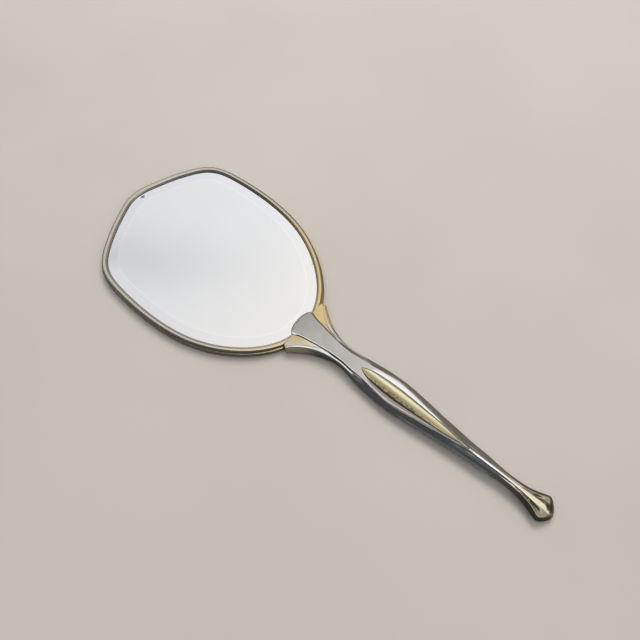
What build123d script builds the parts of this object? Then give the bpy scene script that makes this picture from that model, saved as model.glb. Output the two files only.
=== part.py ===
from build123d import *
import math
import os

# Vanity hand mirror, 350 mm long: a shield-shaped bevelled glass in a two-part metal frame,
# on a long hollow two-shell handle with a flared tip. Millimetres, +Z is the glass side
# ("front"). The origin is the centre of the flat field on the back that the mirror rests on.
# +Y points to the crown of the head, the handle runs to -Y, and x = 0 is the mirror plane.
# s is the distance along the axis from the crown of the frame, so y = CROWN_Y - s.
# u is the distance outside the outline of the glass opening.

# ---------------------------------------------------------------- driving dimensions
CROWN_Y = 82.5                # y of s = 0
GLASS_BOTTOM = 3.0            # underside of the glass
GLASS_THICK = 3.0             # thickness in the flat middle
GLASS_EDGE = 2.2              # thickness left at the rim of the bevel
GLASS_LAP = 1.6               # how far the glass runs under the bezel lip
BEVEL_WIDTH = 7.0             # visible width of the bevel
BEZEL_TOP = 7.5               # crown of the bezel
SHEET = 0.5                   # back plate sheet
BORDER_Z = 0.8                # how far the border of the back frame stands off the table
BORDER_SHEET = 0.6            # back frame sheet
BOARD_THICK = 1.35
FELT_THICK = 1.05
OVERLAY = 0.7                 # thickness of the spine plate, wings and grip panel
SHELL = 0.75                  # wall of the handle shells
SEAM_GAP = 0.12               # gap round the inlaid pieces
POINT_GAP = 8 * SEAM_GAP      # the same gap measured along the axis at a sharp point
TANG_WIDTH = 7.0
TANG_THICK = 1.2
TANG_Z = 1.46                 # underside of the tang's pad
SCREW_S = 159.6
SCREWS = [(-6.2, CROWN_Y - SCREW_S), (6.2, CROWN_Y - SCREW_S)]

os.makedirs("parts", exist_ok=True)


# ---------------------------------------------------------------- general helpers
def y_at(s):
    return CROWN_Y - s


def mirrored(points):
    """The points reflected in x = 0, in reverse order."""
    return [(-x, other) for x, other in points[::-1]]


def both_sides(half):
    """Full curve from its right half, which starts at x = 0."""
    return mirrored(half) + half[1:]


def largest(shape):
    """The main solid of a boolean's result."""
    return max(shape.solids(), key=lambda solid: solid.volume)


def write(name, solids):
    part = solids[0] if len(solids) == 1 else Compound(children=solids)
    part.label = name
    export_step(part, f"parts/{name}.step")


def monotone_cubic(table):
    """Monotone cubic through (s, value) pairs, constant beyond the ends."""
    stations = [row[0] for row in table]
    values = [row[1] for row in table]
    last = len(table) - 1
    steps = [stations[i + 1] - stations[i] for i in range(last)]
    slopes = [(values[i + 1] - values[i]) / steps[i] for i in range(last)]
    tangents = [slopes[0]] + [0.0] * (last - 1) + [slopes[-1]]
    for i in range(1, last):
        if slopes[i - 1] * slopes[i] > 0:
            before = 2 * steps[i] + steps[i - 1]
            after = steps[i] + 2 * steps[i - 1]
            tangents[i] = (before + after) / (before / slopes[i - 1] + after / slopes[i])

    def value_at(s):
        if s <= stations[0]:
            return values[0]
        if s >= stations[-1]:
            return values[-1]
        k = 0
        while s > stations[k + 1]:
            k += 1
        t = (s - stations[k]) / steps[k]
        return ((1 + 2 * t) * (1 - t) ** 2 * values[k]
                + t * (1 - t) ** 2 * steps[k] * tangents[k]
                + t * t * (3 - 2 * t) * values[k + 1]
                + t * t * (t - 1) * steps[k] * tangents[k + 1])

    return value_at


# ---------------------------------------------------------------- outline of the opening
# Right half of the opening, crown to foot: (x, s)
OPENING = [
    (0.0, 4.83), (7.72, 6.05), (15.09, 8.75), (22.34, 11.74), (28.93, 14.75),
    (35.82, 18.5), (42.48, 22.63), (48.48, 27.67), (52.76, 34.2), (55.07, 41.69),
    (56.24, 49.44), (56.89, 56.65), (57.33, 64.49), (57.52, 72.33), (57.36, 80.18),
    (56.82, 88.0), (55.91, 95.8), (54.53, 103.52), (52.69, 110.52), (50.09, 117.92),
    (46.89, 125.08), (43.04, 131.92), (38.63, 138.4), (33.63, 144.45), (28.0, 149.9),
    (22.23, 154.28), (15.33, 157.98), (7.81, 160.17), (0.0, 160.85),
]
SPAN_STEPS = 16               # subdivisions of each span before even spacing
OUTLINE_POINTS = 72


def catmull_rom(p0, p1, p2, p3, t):
    return 0.5 * (2 * p1 + (p2 - p0) * t + (2 * p0 - 5 * p1 + 4 * p2 - p3) * t * t
                  + (3 * p1 - p0 - 3 * p2 + p3) * t ** 3)


def outline_frames(count):
    """Evenly spaced (point, outward normal) pairs, clockwise from the crown."""
    ring = [(x, y_at(s)) for x, s in OPENING + mirrored(OPENING[1:-1])]
    dense = []
    for i in range(len(ring)):
        knots = [ring[(i + k) % len(ring)] for k in (-1, 0, 1, 2)]
        for k in range(SPAN_STEPS):
            dense.append(tuple(catmull_rom(*axis, k / SPAN_STEPS) for axis in zip(*knots)))
    chords = [math.dist(p, q) for p, q in zip(dense, dense[1:] + dense[:1])]
    total = sum(chords)

    points = []
    passed = 0.0
    j = 0
    for k in range(count):
        wanted = total * k / count
        while passed + chords[j] < wanted:
            passed += chords[j]
            j += 1
        t = (wanted - passed) / chords[j]
        start, end = dense[j], dense[(j + 1) % len(dense)]
        points.append((start[0] + (end[0] - start[0]) * t, start[1] + (end[1] - start[1]) * t))

    frames = []
    for k in range(count):
        before, after = points[k - 1], points[(k + 1) % count]
        dx, dy = after[0] - before[0], after[1] - before[1]
        length = math.hypot(dx, dy)
        frames.append((points[k], (-dy / length, dx / length)))
    return frames


FRAMES = outline_frames(OUTLINE_POINTS)


def outline_wire(u, z):
    """Closed curve u outside the opening, at height z."""
    points = [Vector(p[0] + n[0] * u, p[1] + n[1] * u, z) for p, n in FRAMES]
    parameters = [k / len(points) for k in range(len(points) + 1)]
    return Wire([Edge.make_spline(points, periodic=True, parameters=parameters)])


def prism(u, z_low, z_high):
    return Solid.extrude(Face(outline_wire(u, z_low)), Vector(0, 0, z_high - z_low))


def outline_loft(levels, ruled=False):
    """Solid through (u, z) levels of the outline."""
    return Solid.make_loft([outline_wire(u, z) for u, z in levels], ruled=ruled)


# ================================================================= HEAD
# ---- glass: flat middle, ground bevel, thin edge held under the bezel lip
edge_top = GLASS_BOTTOM + GLASS_EDGE
glass_top = GLASS_BOTTOM + GLASS_THICK
glass_low = prism(GLASS_LAP, GLASS_BOTTOM, edge_top)
glass_up = outline_loft([(GLASS_LAP, edge_top), (-BEVEL_WIDTH, glass_top)], ruled=True)
write("mirror_glass", [largest(glass_low + glass_up)])

# ---- bezel ring: rolled bead with a lip over the glass and a skirt into the back frame
bevel_slope = (glass_top - edge_top) / (GLASS_LAP + BEVEL_WIDTH)
lip_z = edge_top + bevel_slope * GLASS_LAP      # bevel surface height below the lip's tip
SKIRT_OUTER = 2.9
SKIRT_INNER = 2.3
SEAT_EDGE = GLASS_LAP + 0.08                    # glass edge plus clearance
BEZEL_BEAD = [(SKIRT_OUTER, 3.72), (3.35, 4.0), (3.85, 4.6), (4.1, 5.5), (3.8, 6.5),
              (3.0, 7.2), (2.0, BEZEL_TOP)]     # (u, z)
BEZEL_FUNNEL = [(0.0, lip_z + 0.45), (0.35, 6.1), (0.95, 6.95), (1.9, BEZEL_TOP),
                (2.3, 7.6)]                     # (u, z) inside of the ring above the lip

# Passage for the tang through the bezel skirt and the back frame
tang_slot = Pos(0, y_at(164.5), 2.1) * Box(TANG_WIDTH + 0.6, 6.0, 1.7)

bezel = outline_loft(BEZEL_BEAD) + prism(SKIRT_OUTER, 1.5, 3.73)
bezel = bezel - outline_loft(BEZEL_FUNNEL)
bezel = bezel - prism(0.0, lip_z - 0.4, lip_z + 0.46)
bezel = bezel - prism(SEAT_EDGE, GLASS_BOTTOM, edge_top + 0.02)
bezel = bezel - outline_loft([(SEAT_EDGE, edge_top + 0.01), (-0.4, lip_z + 0.08)], ruled=True)
bezel = bezel - prism(SKIRT_INNER, 1.4, GLASS_BOTTOM + 1.0)
write("bezel_ring", [largest(bezel - tang_slot)])

# ---- back frame: border sheet with the rolled lower bead, gripping the bezel's skirt
BORDER_INNER = -4.65
FRAME_WALL_OUTER = 3.3
FRAME_WALL_INNER = 2.98
FRAME_HOLE_RADIUS = 1.05
FRAME_BEAD = [(2.6, 0.8), (3.9, 0.9), (4.7, 1.3), (4.9, 1.95), (4.6, 2.8), (3.9, 3.4),
              (FRAME_WALL_INNER, 3.66)]         # (u, z)
border_top = BORDER_Z + BORDER_SHEET

frame = prism(FRAME_WALL_OUTER, BORDER_Z, 3.6) + outline_loft(FRAME_BEAD)
frame = frame - prism(FRAME_WALL_INNER, border_top, 4.0) - prism(BORDER_INNER, 0.0, 2.0)
frame = frame - tang_slot
for x, y in SCREWS:
    frame = frame - Pos(x, y, 1.0) * Cylinder(FRAME_HOLE_RADIUS, 3.0)
write("back_frame", [largest(frame)])

# ---- back plate: dished sheet resting on its flat field, its flange lies on the frame's border
FIELD_EDGE = -7.0
DISH_EDGE = -4.8
FLANGE_EDGE = -1.8
WALL_SHIFT = 0.25             # inward shift of the dish's inside surface
flange_bottom = border_top + 0.02
flange_top = flange_bottom + SHEET
pad_notch = Pos(0, y_at(161.2), 2.4) * Box(19.2, 10.0, 2.4)      # room for the tang's pad

plate = outline_loft([(FIELD_EDGE, 0.0), (DISH_EDGE, flange_bottom)], ruled=True)
plate = plate + prism(FLANGE_EDGE, flange_bottom, flange_top)
plate = plate - outline_loft(
    [(FIELD_EDGE - WALL_SHIFT, SHEET), (DISH_EDGE - WALL_SHIFT, flange_top + 0.01)], ruled=True)
write("back_plate", [largest(plate - pad_notch)])

# ---- backing board and felt pad between the back plate and the glass
BOARD_EDGE = FIELD_EDGE - 0.6
FELT_EDGE = -1.0
LAYER_GAP = 0.01
felt_bottom = flange_top + LAYER_GAP
board = prism(BOARD_EDGE, SHEET + LAYER_GAP, SHEET + BOARD_THICK)
write("backing_board", [largest(board)])
felt = prism(FELT_EDGE, felt_bottom, felt_bottom + FELT_THICK)
write("felt_pad", [largest(felt - pad_notch)])

# ================================================================= HANDLE
# Each table gives one measure of the handle's section as (s, value).
half_width = monotone_cubic([
    (156, 25.6), (164.2, 20.8), (166.5, 18.9), (170.4, 16.1), (173.5, 14.0), (177.4, 11.7),
    (181.4, 9.9), (186, 8.3), (190.4, 7.2), (194, 6.75), (197.5, 6.7), (203, 7.3), (208, 8.5),
    (214, 9.5), (219.5, 10.2), (225, 10.75), (232, 11.0), (236, 11.1), (241, 10.8),
    (247, 10.3), (252, 9.7), (260, 8.8), (268, 7.8), (274, 7.3), (280, 6.7), (290, 5.7),
    (300, 5.15), (310, 4.2), (317, 3.75), (323, 4.0), (330, 4.8), (336, 6.4), (340.6, 8.0),
    (342.4, 8.4), (343.8, 8.0), (345.5, 6.9), (347.2, 4.9), (348.6, 2.9), (349.6, 1.4)])
# Height of the widest line, before the limit in seam_z
widest_z = monotone_cubic([
    (156, 3.2), (175, 3.4), (190, 3.7), (200, 4.3), (220, 5.0), (245, 5.8), (270, 6.8),
    (290, 7.3), (311, 7.5), (325, 7.0), (336, 6.0), (342, 5.0), (349.6, 3.0)])
bottom_z = monotone_cubic([
    (156, 0.05), (172, 0.05), (182, 0.15), (192, 0.35), (200, 0.45), (215, 0.55),
    (235, 0.95), (250, 1.6), (265, 2.4), (280, 3.3), (295, 4.0), (311, 4.4), (322, 3.6),
    (332, 1.9), (339, 0.45), (343, 0.0), (346, 0.15), (348.5, 1.1), (349.6, 2.1)])
top_z = monotone_cubic([
    (155, 7.45), (156.5, 7.9), (158.5, 8.55), (161, 9.05), (165, 9.5), (170, 9.8), (180, 9.8),
    (194, 9.35), (207, 9.5), (220, 9.95), (235, 10.3), (265, 10.6), (290, 10.8), (311, 11.0),
    (325, 10.3), (335, 9.6), (341, 8.75), (342.5, 8.25), (344.5, 7.15), (346.5, 5.95),
    (348.5, 4.6), (349.6, 3.75)])
# x of the spine plate's edge, then of the rail crest, then of the flute crest of the tip
rail_x = monotone_cubic([
    (156, 12.0), (161, 9.8), (165, 8.3), (169, 7.4), (174, 6.6), (178, 5.9), (183, 5.3),
    (188, 4.7), (192, 4.4), (197, 4.4), (204, 5.0), (208, 5.1), (213, 5.4), (219, 6.2),
    (223, 6.7), (228, 7.3), (233, 7.75), (237, 7.5), (244, 6.8), (251, 5.7), (257, 4.8),
    (264, 4.0), (270, 3.4), (280, 2.9), (290, 2.6), (300, 2.3), (311, 2.0), (320, 2.1),
    (328, 2.9), (334, 4.0), (339, 5.5), (342.4, 6.2), (345.5, 5.0), (349.6, 0.9)])
# Drops are measured down from top_z.
rail_drop = monotone_cubic([
    (156, 0.0), (205, 0.05), (213, 0.3), (235, 0.6), (255, 0.9), (270, 1.1), (290, 1.3),
    (311, 1.5), (325, 1.6), (336, 1.2), (342.4, 1.1), (346, 0.9), (349.6, 0.3)])
# Groove at the edge of the grip panel
groove_x = monotone_cubic([
    (156, 6.0), (165, 4.2), (180, 2.9), (192, 2.2), (204, 2.4), (210, 2.4), (215, 3.1),
    (220, 3.6), (225, 3.9), (230, 4.1), (236, 4.2), (243, 3.9), (250, 3.5), (259, 2.9),
    (267, 2.3), (274, 1.9), (290, 1.5), (311, 1.05), (325, 1.2), (336, 2.0),
    (342.4, 3.2), (349.6, 0.5)])
groove_drop = monotone_cubic([
    (156, 0.0), (205, 0.02), (213, 0.65), (222, 1.4), (235, 1.9), (250, 1.9), (265, 1.5),
    (280, 0.9), (290, 0.7), (311, 0.75), (325, 1.2), (336, 1.15), (342.4, 0.8), (349.6, 0.1)])
# Outer crest: edge of the cuff wings, bead of the throat, shoulder of the grip
crest_x = monotone_cubic([
    (156, 23.0), (163.5, 18.3), (169, 12.9), (175, 9.9), (182, 7.3), (188, 5.8), (196, 5.35),
    (204, 6.0), (213, 7.6), (223, 9.0), (235, 10.0), (247, 9.0), (260, 7.5), (275, 6.0),
    (290, 4.8), (311, 3.5), (325, 3.7), (336, 5.8), (342.4, 7.6), (345.5, 6.3), (349.6, 1.2)])
crest_drop = monotone_cubic([
    (156, 0.9), (165, 1.35), (172, 1.7), (182, 1.6), (192, 1.2), (204, 1.3), (220, 2.2),
    (235, 2.7), (250, 2.7), (270, 2.6), (290, 2.5), (311, 2.5), (325, 2.6), (336, 2.4),
    (342.4, 2.3), (346, 1.9), (349.6, 0.6)])

# Lower curve from the side to the middle, as shares of half width and height. Columns: x share
# under the cuff, its change further on, z share under the cuff, its change further on.
OUTER_BELLY = [(0.985, -0.035, 0.42, 0.06), (0.90, -0.10, 0.06, 0.12), (0.55, -0.09, 0.0, 0.03)]
INNER_BELLY = [(0.985, -0.04, 0.42, 0.06), (0.90, -0.10, 0.06, 0.14), (0.55, -0.09, 0.0, 0.03)]

OUTER_STATIONS = [
    155.2, 158, 161, 165, 169.5, 174.5, 180, 186, 192, 198, 205, 212, 220, 228, 236, 245, 255,
    265, 275, 286, 298, 310, 319, 326, 332, 337, 341, 343.5, 346, 348.2, 349.6]
HOLLOW_STATIONS = [
    154.5, 160, 166, 173, 181, 190, 198, 208, 220, 235, 252, 270, 288, 304, 316, 326, 334]
REFERENCE_S = 228.0           # section that sets the spline parameters of all outer sections


def seam_z(s):
    """Height of the widest line, kept at least 0.8 below the outer crest."""
    return min(widest_z(s), top_z(s) - crest_drop(s) - 0.8)


def upper_curve(s):
    """(x, z) points over the top, left to right."""
    top = top_z(s)
    groove_z = top - groove_drop(s)
    rail_z = top - rail_drop(s)
    crest_z = top - crest_drop(s)
    side_z = seam_z(s)
    return both_sides([
        (0.0, top),
        (0.5 * groove_x(s), top - 0.3 * groove_drop(s)),
        (groove_x(s), groove_z),
        (0.5 * (groove_x(s) + rail_x(s)),
         0.5 * (groove_z + rail_z) - 0.12 * min(1.0, groove_drop(s))),
        (rail_x(s), rail_z),
        (0.5 * (rail_x(s) + crest_x(s)), rail_z + (crest_z - rail_z) * 0.40),
        (crest_x(s), crest_z),
        (crest_x(s) + 0.62 * (half_width(s) - crest_x(s)), crest_z - 0.42 * (crest_z - side_z)),
        (half_width(s), side_z),
    ])


def lower_curve(s, belly, width, side_z, low_z):
    """(x, z) points under the bottom, right to left, without the two side points."""
    roundness = min(1.0, max(0.0, (s - 172.0) / 24.0))     # flat under the cuff
    height = side_z - low_z
    right = [(width * (x_share + x_change * roundness),
              low_z + height * (z_share + z_change * roundness))
             for x_share, x_change, z_share, z_change in belly]
    return right + [(0.0, low_z)] + mirrored(right)


def outer_lower_curve(s):
    return lower_curve(s, OUTER_BELLY, half_width(s), seam_z(s), bottom_z(s))


def spaced_parameters(points):
    """Parameters 0 to 1, spaced by chord length to the power 0.6."""
    sums = [0.0]
    for start, end in zip(points, points[1:]):
        sums.append(sums[-1] + math.dist(start, end) ** 0.6)
    return [value / sums[-1] for value in sums]


def uniform_parameters(count):
    return [i / (count - 1) for i in range(count)]


reference_top = upper_curve(REFERENCE_S)
reference_low = [reference_top[-1]] + outer_lower_curve(REFERENCE_S) + [reference_top[0]]
OUTER_PARAMETERS = (spaced_parameters(reference_top), spaced_parameters(reference_low))
INNER_PARAMETERS = (uniform_parameters(11), uniform_parameters(9))


def section_wire(s, upper, lower, parameters):
    y = y_at(s)
    top = [Vector(x, y, z) for x, z in upper]
    low = [top[-1]] + [Vector(x, y, z) for x, z in lower] + [top[0]]
    return Wire([Edge.make_spline(top, parameters=parameters[0]),
                 Edge.make_spline(low, parameters=parameters[1])])


def outer_section(s):
    return section_wire(s, upper_curve(s), outer_lower_curve(s), OUTER_PARAMETERS)


def inner_section(s, clearance=0.0):
    """Section of the handle's hollow, smaller all round by clearance."""
    wall = SHELL + clearance
    width = half_width(s) - wall
    roof = top_z(s) - (OVERLAY + wall + max(groove_drop(s), rail_drop(s) * 0.9))
    if s < 168 and clearance == 0:
        roof = max(roof, BEZEL_TOP + 0.12)      # the hollow clears the bezel
    floor = bottom_z(s) + wall
    shoulder_x = min(crest_x(s) - wall * 0.6, width * 0.86)
    shoulder_z = min(roof - 0.25, top_z(s) - crest_drop(s) - OVERLAY - wall)
    side_z = max(min(seam_z(s), shoulder_z - 0.5), floor + 0.6)
    upper = both_sides([
        (0.0, roof),
        (0.42 * shoulder_x, roof - 0.02),
        (0.80 * shoulder_x, roof - 0.35 * (roof - shoulder_z)),
        (shoulder_x, shoulder_z),
        (shoulder_x + 0.66 * (width - shoulder_x), shoulder_z - 0.45 * (shoulder_z - side_z)),
        (width, side_z),
    ])
    lower = lower_curve(s, INNER_BELLY, width, side_z, floor)
    return section_wire(s, upper, lower, INNER_PARAMETERS)


outer = Solid.make_loft([outer_section(s) for s in OUTER_STATIONS])
outer_low = outer.moved(Location((0, 0, -OVERLAY)))
cavity = Solid.make_loft([inner_section(s) for s in HOLLOW_STATIONS])

# Space the head takes inside the cuff: (u, z)
HEAD_PLUG = [(3.6, 0.77), (4.6, 1.02), (5.03, 1.9), (4.85, 2.8), (4.3, 3.5), (4.1, 4.2),
             (4.26, 5.5), (3.98, 6.58), (3.24, 7.36), (2.6, 7.6), (1.9, 7.73)]
head_plug = outline_loft(HEAD_PLUG)

# ---------------------------------------------------------------- upright plan cutters
CUTTER_BOTTOM = -1.0
CUTTER_HEIGHT = 15.0


def plan_points(points):
    return [Vector(x, y_at(s), CUTTER_BOTTOM) for x, s in points]


def plan_extrude(wire):
    return Solid.extrude(Face(wire), Vector(0, 0, CUTTER_HEIGHT))


def polygon_cutter(points):
    return plan_extrude(Wire.make_polygon(plan_points(points), close=True))


def smooth_cutter(right, crown_end=None):
    """Cutter of a mirror symmetric plan outline.

    right: (x, s) points down the right side, ending at x = 0.
    crown_end: (x, s) points of the edge nearest the crown, from x = 0 to the first of right.
    """
    edges = [Edge.make_spline(plan_points(right)), Edge.make_spline(plan_points(mirrored(right)))]
    if crown_end:
        edges.append(Edge.make_spline(plan_points(both_sides(crown_end))))
    return plan_extrude(Wire(edges))


# Plan regions of the two shells; the back one ends in a half ellipse towards the crown
HANDLE_SIDES = [(20.8, 164.0), (32.0, 166.0), (32.0, 352.0),
                (-32.0, 352.0), (-32.0, 166.0), (-20.8, 164.0)]
BACK_LOBE = [(12.5 * math.cos(math.radians(a)), 161.5 - 4.5 * math.sin(math.radians(a)))
             for a in range(180, -1, -12)]
front_region = polygon_cutter([(-18.3, 161.0), (18.3, 161.0)] + HANDLE_SIDES)
back_region = polygon_cutter([HANDLE_SIDES[-1], (-18.3, 161.5)] + BACK_LOBE
                             + [(18.3, 161.5)] + HANDLE_SIDES[:-1])

# ---------------------------------------------------------------- split along the widest line
SEAM_STATIONS = [150, 165, 180, 195, 210, 230, 250, 270, 290, 311, 325, 336, 343, 352]
SEAM_X = 40.0                 # half width of the splitting blocks


def seam_block(z_far):
    """Block between the seam surface and the height z_far."""
    seam = [Vector(-SEAM_X, y_at(s), seam_z(s)) for s in SEAM_STATIONS]
    rest = [seam[-1], Vector(-SEAM_X, y_at(SEAM_STATIONS[-1]), z_far),
            Vector(-SEAM_X, y_at(SEAM_STATIONS[0]), z_far), seam[0]]
    lines = [Edge.make_line(start, end) for start, end in zip(rest, rest[1:])]
    return Solid.extrude(Face(Wire([Edge.make_spline(seam)] + lines)), Vector(2 * SEAM_X, 0, 0))


# ---------------------------------------------------------------- inlaid pieces
def overlay(region, stock=outer):
    """Piece of the handle's top layer inside a plan region."""
    return largest((stock & region) - outer_low)


# Spine plate: lobe over the glass, tongue, then two rails round the grip panel to a point
LOBE_X = 9.8
SPINE_END = 291.0
LOBE = [(0.0, 156.3), (2.9, 156.5), (5.9, 157.15), (8.3, 158.7), (LOBE_X, 161.0)]
SPINE_STATIONS = [165, 170, 175, 181, 188, 194, 200, 206, 213, 221, 229, 235, 243, 251, 258, 264]
SPINE_SIDE = ([(LOBE_X, 161.0)] + [(rail_x(s), s) for s in SPINE_STATIONS]
              + [(2.75, 271.0), (1.75, 278.0), (0.8, 285.0), (0.0, SPINE_END)])
# Right side of the panel's opening in the spine plate: (x, s)
PANEL_START = 209.0
PANEL_END = 286.0
PANEL_SIDE = [
    (1.6, 211.8), (2.8, 215.5), (3.5, 220.0), (3.9, 225.5), (4.15, 231.0), (4.2, 236.5),
    (3.95, 243.0), (3.55, 250.0), (3.0, 258.5), (2.4, 267.0), (1.6, 275.0), (0.75, 281.5)]

spine = overlay(smooth_cutter(SPINE_SIDE, LOBE))
spine = largest(spine - smooth_cutter([(0.0, PANEL_START)] + PANEL_SIDE + [(0.0, PANEL_END)]))
write("handle_spine_plate", [spine])

panel_cutter = smooth_cutter([(0.0, PANEL_START + 2.2 * SEAM_GAP)]
                             + [(x - SEAM_GAP, s) for x, s in PANEL_SIDE]
                             + [(0.0, PANEL_END - POINT_GAP)])
write("grip_panel", [overlay(panel_cutter)])

# Wings: one inlay on each side of the spine plate, tapering down the throat
WING_STATIONS = [163.5, 167, 171, 175, 179, 182, 184.2]
WING_START = 160.4


def wing_taper(s):
    return 1.0 if s < 170 else max(0.0, 1.0 - ((s - 170.0) / 15.0) ** 1.3)


def wing_cutter(side, grow=0.0):
    """Plan cutter of a wing; side is 1 for +x or -1 for -x, grow widens it both ways."""
    near = [(10.1 + SEAM_GAP - grow, WING_START)]
    far = [(18.1 + grow, WING_START)]
    for s in WING_STATIONS:
        near_x = rail_x(s) + SEAM_GAP + 0.05
        wing_width = (crest_x(s) - 0.2 - rail_x(s) - SEAM_GAP) * wing_taper(s)
        near.append((near_x - grow, s))
        far.append((near_x + wing_width + grow, s))
    near_edge, far_edge = [Edge.make_spline(plan_points([(side * x, s) for x, s in points]))
                           for points in (near, far)]
    ends = [Edge.make_line(near_edge.position_at(t), far_edge.position_at(t)) for t in (0, 1)]
    return plan_extrude(Wire([near_edge, far_edge] + ends))


for side, name in ((1, "wing_inlay_right"), (-1, "wing_inlay_left")):
    write(name, [overlay(wing_cutter(side), outer & front_region)])

# ---------------------------------------------------------------- handle shells
# Front shell, recessed for the spine plate and wings with a gap round them
inlay_layer = outer - outer_low
spine_recess = smooth_cutter(
    [(x + SEAM_GAP, s) for x, s in SPINE_SIDE[:-1]] + [(0.0, SPINE_END + POINT_GAP)],
    [(x * (1 + SEAM_GAP / LOBE_X), s) for x, s in LOBE])
front_shell = (outer & seam_block(16) & front_region) - cavity - head_plug
front_shell = front_shell - (inlay_layer & spine_recess)
for side in (1, -1):
    front_shell = front_shell - (inlay_layer & wing_cutter(side, SEAM_GAP))
write("handle_front_shell", [largest(front_shell)])

# Back shell, countersunk for the screws
back_shell = (outer & seam_block(-4) & back_region) - cavity - head_plug
for x, y in SCREWS:
    back_shell = back_shell - Pos(x, y, 0.39) * Cone(1.97, 1.08, 0.80)
write("handle_back_shell", [largest(back_shell)])

# ---------------------------------------------------------------- cuff screws
HEAD_BOTTOM = 0.08
HEAD_HEIGHT = 0.68
SHANK_RADIUS = 0.95


def cuff_screw(x, y):
    head = Pos(x, y, HEAD_BOTTOM + HEAD_HEIGHT / 2) * Cone(1.8, 1.0, HEAD_HEIGHT)
    shank = Pos(x, y, 1.6) * Cylinder(SHANK_RADIUS, 2.0)
    driver_slot = Pos(x, y, HEAD_BOTTOM + 0.14) * Box(4.0, 0.42, 0.3)
    return largest(head + shank - driver_slot)


write("cuff_screws", [cuff_screw(x, y) for x, y in SCREWS])

# ---------------------------------------------------------------- tang strap
# Strap that climbs from the head into the handle, with a pad for the two screws
tang_mid = TANG_Z + TANG_THICK / 2
TANG_LINE = [(162.0, tang_mid), (170.0, tang_mid), (182.0, 3.1), (194.0, 4.55), (206.0, 4.9),
             (220.0, 4.95), (233.0, 5.0)]       # (s, z) of the strap's mid-surface
upper_points, lower_points = [
    [Vector(-TANG_WIDTH / 2, y_at(s), z + offset) for s, z in TANG_LINE]
    for offset in (TANG_THICK / 2, -TANG_THICK / 2)]
strap_face = Face(Wire([
    Edge.make_spline(upper_points), Edge.make_line(upper_points[-1], lower_points[-1]),
    Edge.make_spline(lower_points), Edge.make_line(lower_points[0], upper_points[0])]))
strap = Solid.extrude(strap_face, Vector(TANG_WIDTH, 0, 0))
pad = Pos(0, y_at(SCREW_S), tang_mid) * Box(18.0, 4.2, TANG_THICK)
neck = Pos(0, y_at(161.2), tang_mid) * Box(TANG_WIDTH, 3.4, TANG_THICK)
tang = strap + pad + neck
for x, y in SCREWS:
    tang = tang - Pos(x, y, 2.0) * Cylinder(SHANK_RADIUS + 0.01, 3.0)
write("tang_strap", [largest(tang)])

# ---------------------------------------------------------------- filler in the hollow
FILLER_START = 190.0
FILLER_END = 331.0
filler = Solid.make_loft([inner_section(s, 0.12) for s in HOLLOW_STATIONS])
filler_span = (Pos(0, 0.5 * (y_at(FILLER_START) + y_at(FILLER_END)), 5.0)
               * Box(40.0, FILLER_END - FILLER_START, 20.0))
write("handle_filler", [largest((filler & filler_span) - strap)])
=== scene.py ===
"""A hand mirror lying on its back.

The glass faces +Z and the lowest metal rests near z = 0. The middle line is x = 0, the crown of
the head lies towards +Y and the handle runs towards -Y. Shapes are worked out in millimetres.
A station is a distance from y = CROWN_Y towards -Y. A head offset is a distance outside the
outline of the opening (negative is inside).
"""
import math
import bpy
import bmesh
import numpy as np
from mathutils import Matrix, Vector


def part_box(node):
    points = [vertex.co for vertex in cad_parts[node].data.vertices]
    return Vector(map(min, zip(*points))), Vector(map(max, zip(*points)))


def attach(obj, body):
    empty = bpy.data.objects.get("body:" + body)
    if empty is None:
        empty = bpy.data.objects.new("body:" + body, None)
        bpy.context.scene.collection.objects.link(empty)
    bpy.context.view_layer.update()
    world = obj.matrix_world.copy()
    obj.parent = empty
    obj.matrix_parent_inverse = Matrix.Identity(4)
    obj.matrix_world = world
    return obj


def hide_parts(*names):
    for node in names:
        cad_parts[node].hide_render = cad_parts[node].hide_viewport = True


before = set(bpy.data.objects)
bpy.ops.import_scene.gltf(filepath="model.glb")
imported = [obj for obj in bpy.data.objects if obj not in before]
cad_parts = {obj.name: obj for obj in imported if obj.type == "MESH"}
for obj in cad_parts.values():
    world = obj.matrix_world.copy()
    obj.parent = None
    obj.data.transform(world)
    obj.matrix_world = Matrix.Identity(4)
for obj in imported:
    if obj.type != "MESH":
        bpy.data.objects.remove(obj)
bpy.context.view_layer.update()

MM = 0.001
CROWN_Y = 82.5


# ================================================================ numeric helpers
def curve(table):
    """Shape-preserving cubic through (position, value) pairs, held constant past both ends."""
    knots, values = np.array(table, float).T
    step = np.diff(knots)
    rise = np.diff(values) / step
    slope = np.zeros(len(knots))
    slope[0], slope[-1] = rise[0], rise[-1]
    for i in range(1, len(knots) - 1):
        if rise[i - 1] * rise[i] > 0:
            before = 2 * step[i] + step[i - 1]
            after = step[i] + 2 * step[i - 1]
            slope[i] = (before + after) / (before / rise[i - 1] + after / rise[i])

    def evaluate(position):
        position = np.clip(np.asarray(position, float), knots[0], knots[-1])
        k = np.clip(np.searchsorted(knots, position) - 1, 0, len(knots) - 2)
        t = (position - knots[k]) / step[k]
        return ((1 + 2 * t) * (1 - t) ** 2 * values[k] + t * (1 - t) ** 2 * step[k] * slope[k]
                + t * t * (3 - 2 * t) * values[k + 1] + t * t * (t - 1) * step[k] * slope[k + 1])

    return evaluate


def smooth(start, end, value):
    t = np.clip((np.asarray(value, float) - start) / (end - start), 0, 1)
    return t * t * (3 - 2 * t)


def lerp(start, end, t):
    return start + (end - start) * t


def rows_between(start, end, step):
    return np.linspace(start, end, max(2, int(round((end - start) / step)) + 1))


def edge_drop(distance, radius):
    """How far a rounded edge lies below its face at a distance from the edge."""
    distance = np.clip(distance, 0, radius)
    return radius - np.sqrt(np.clip(radius * radius - (radius - distance) ** 2, 0, None))


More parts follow.
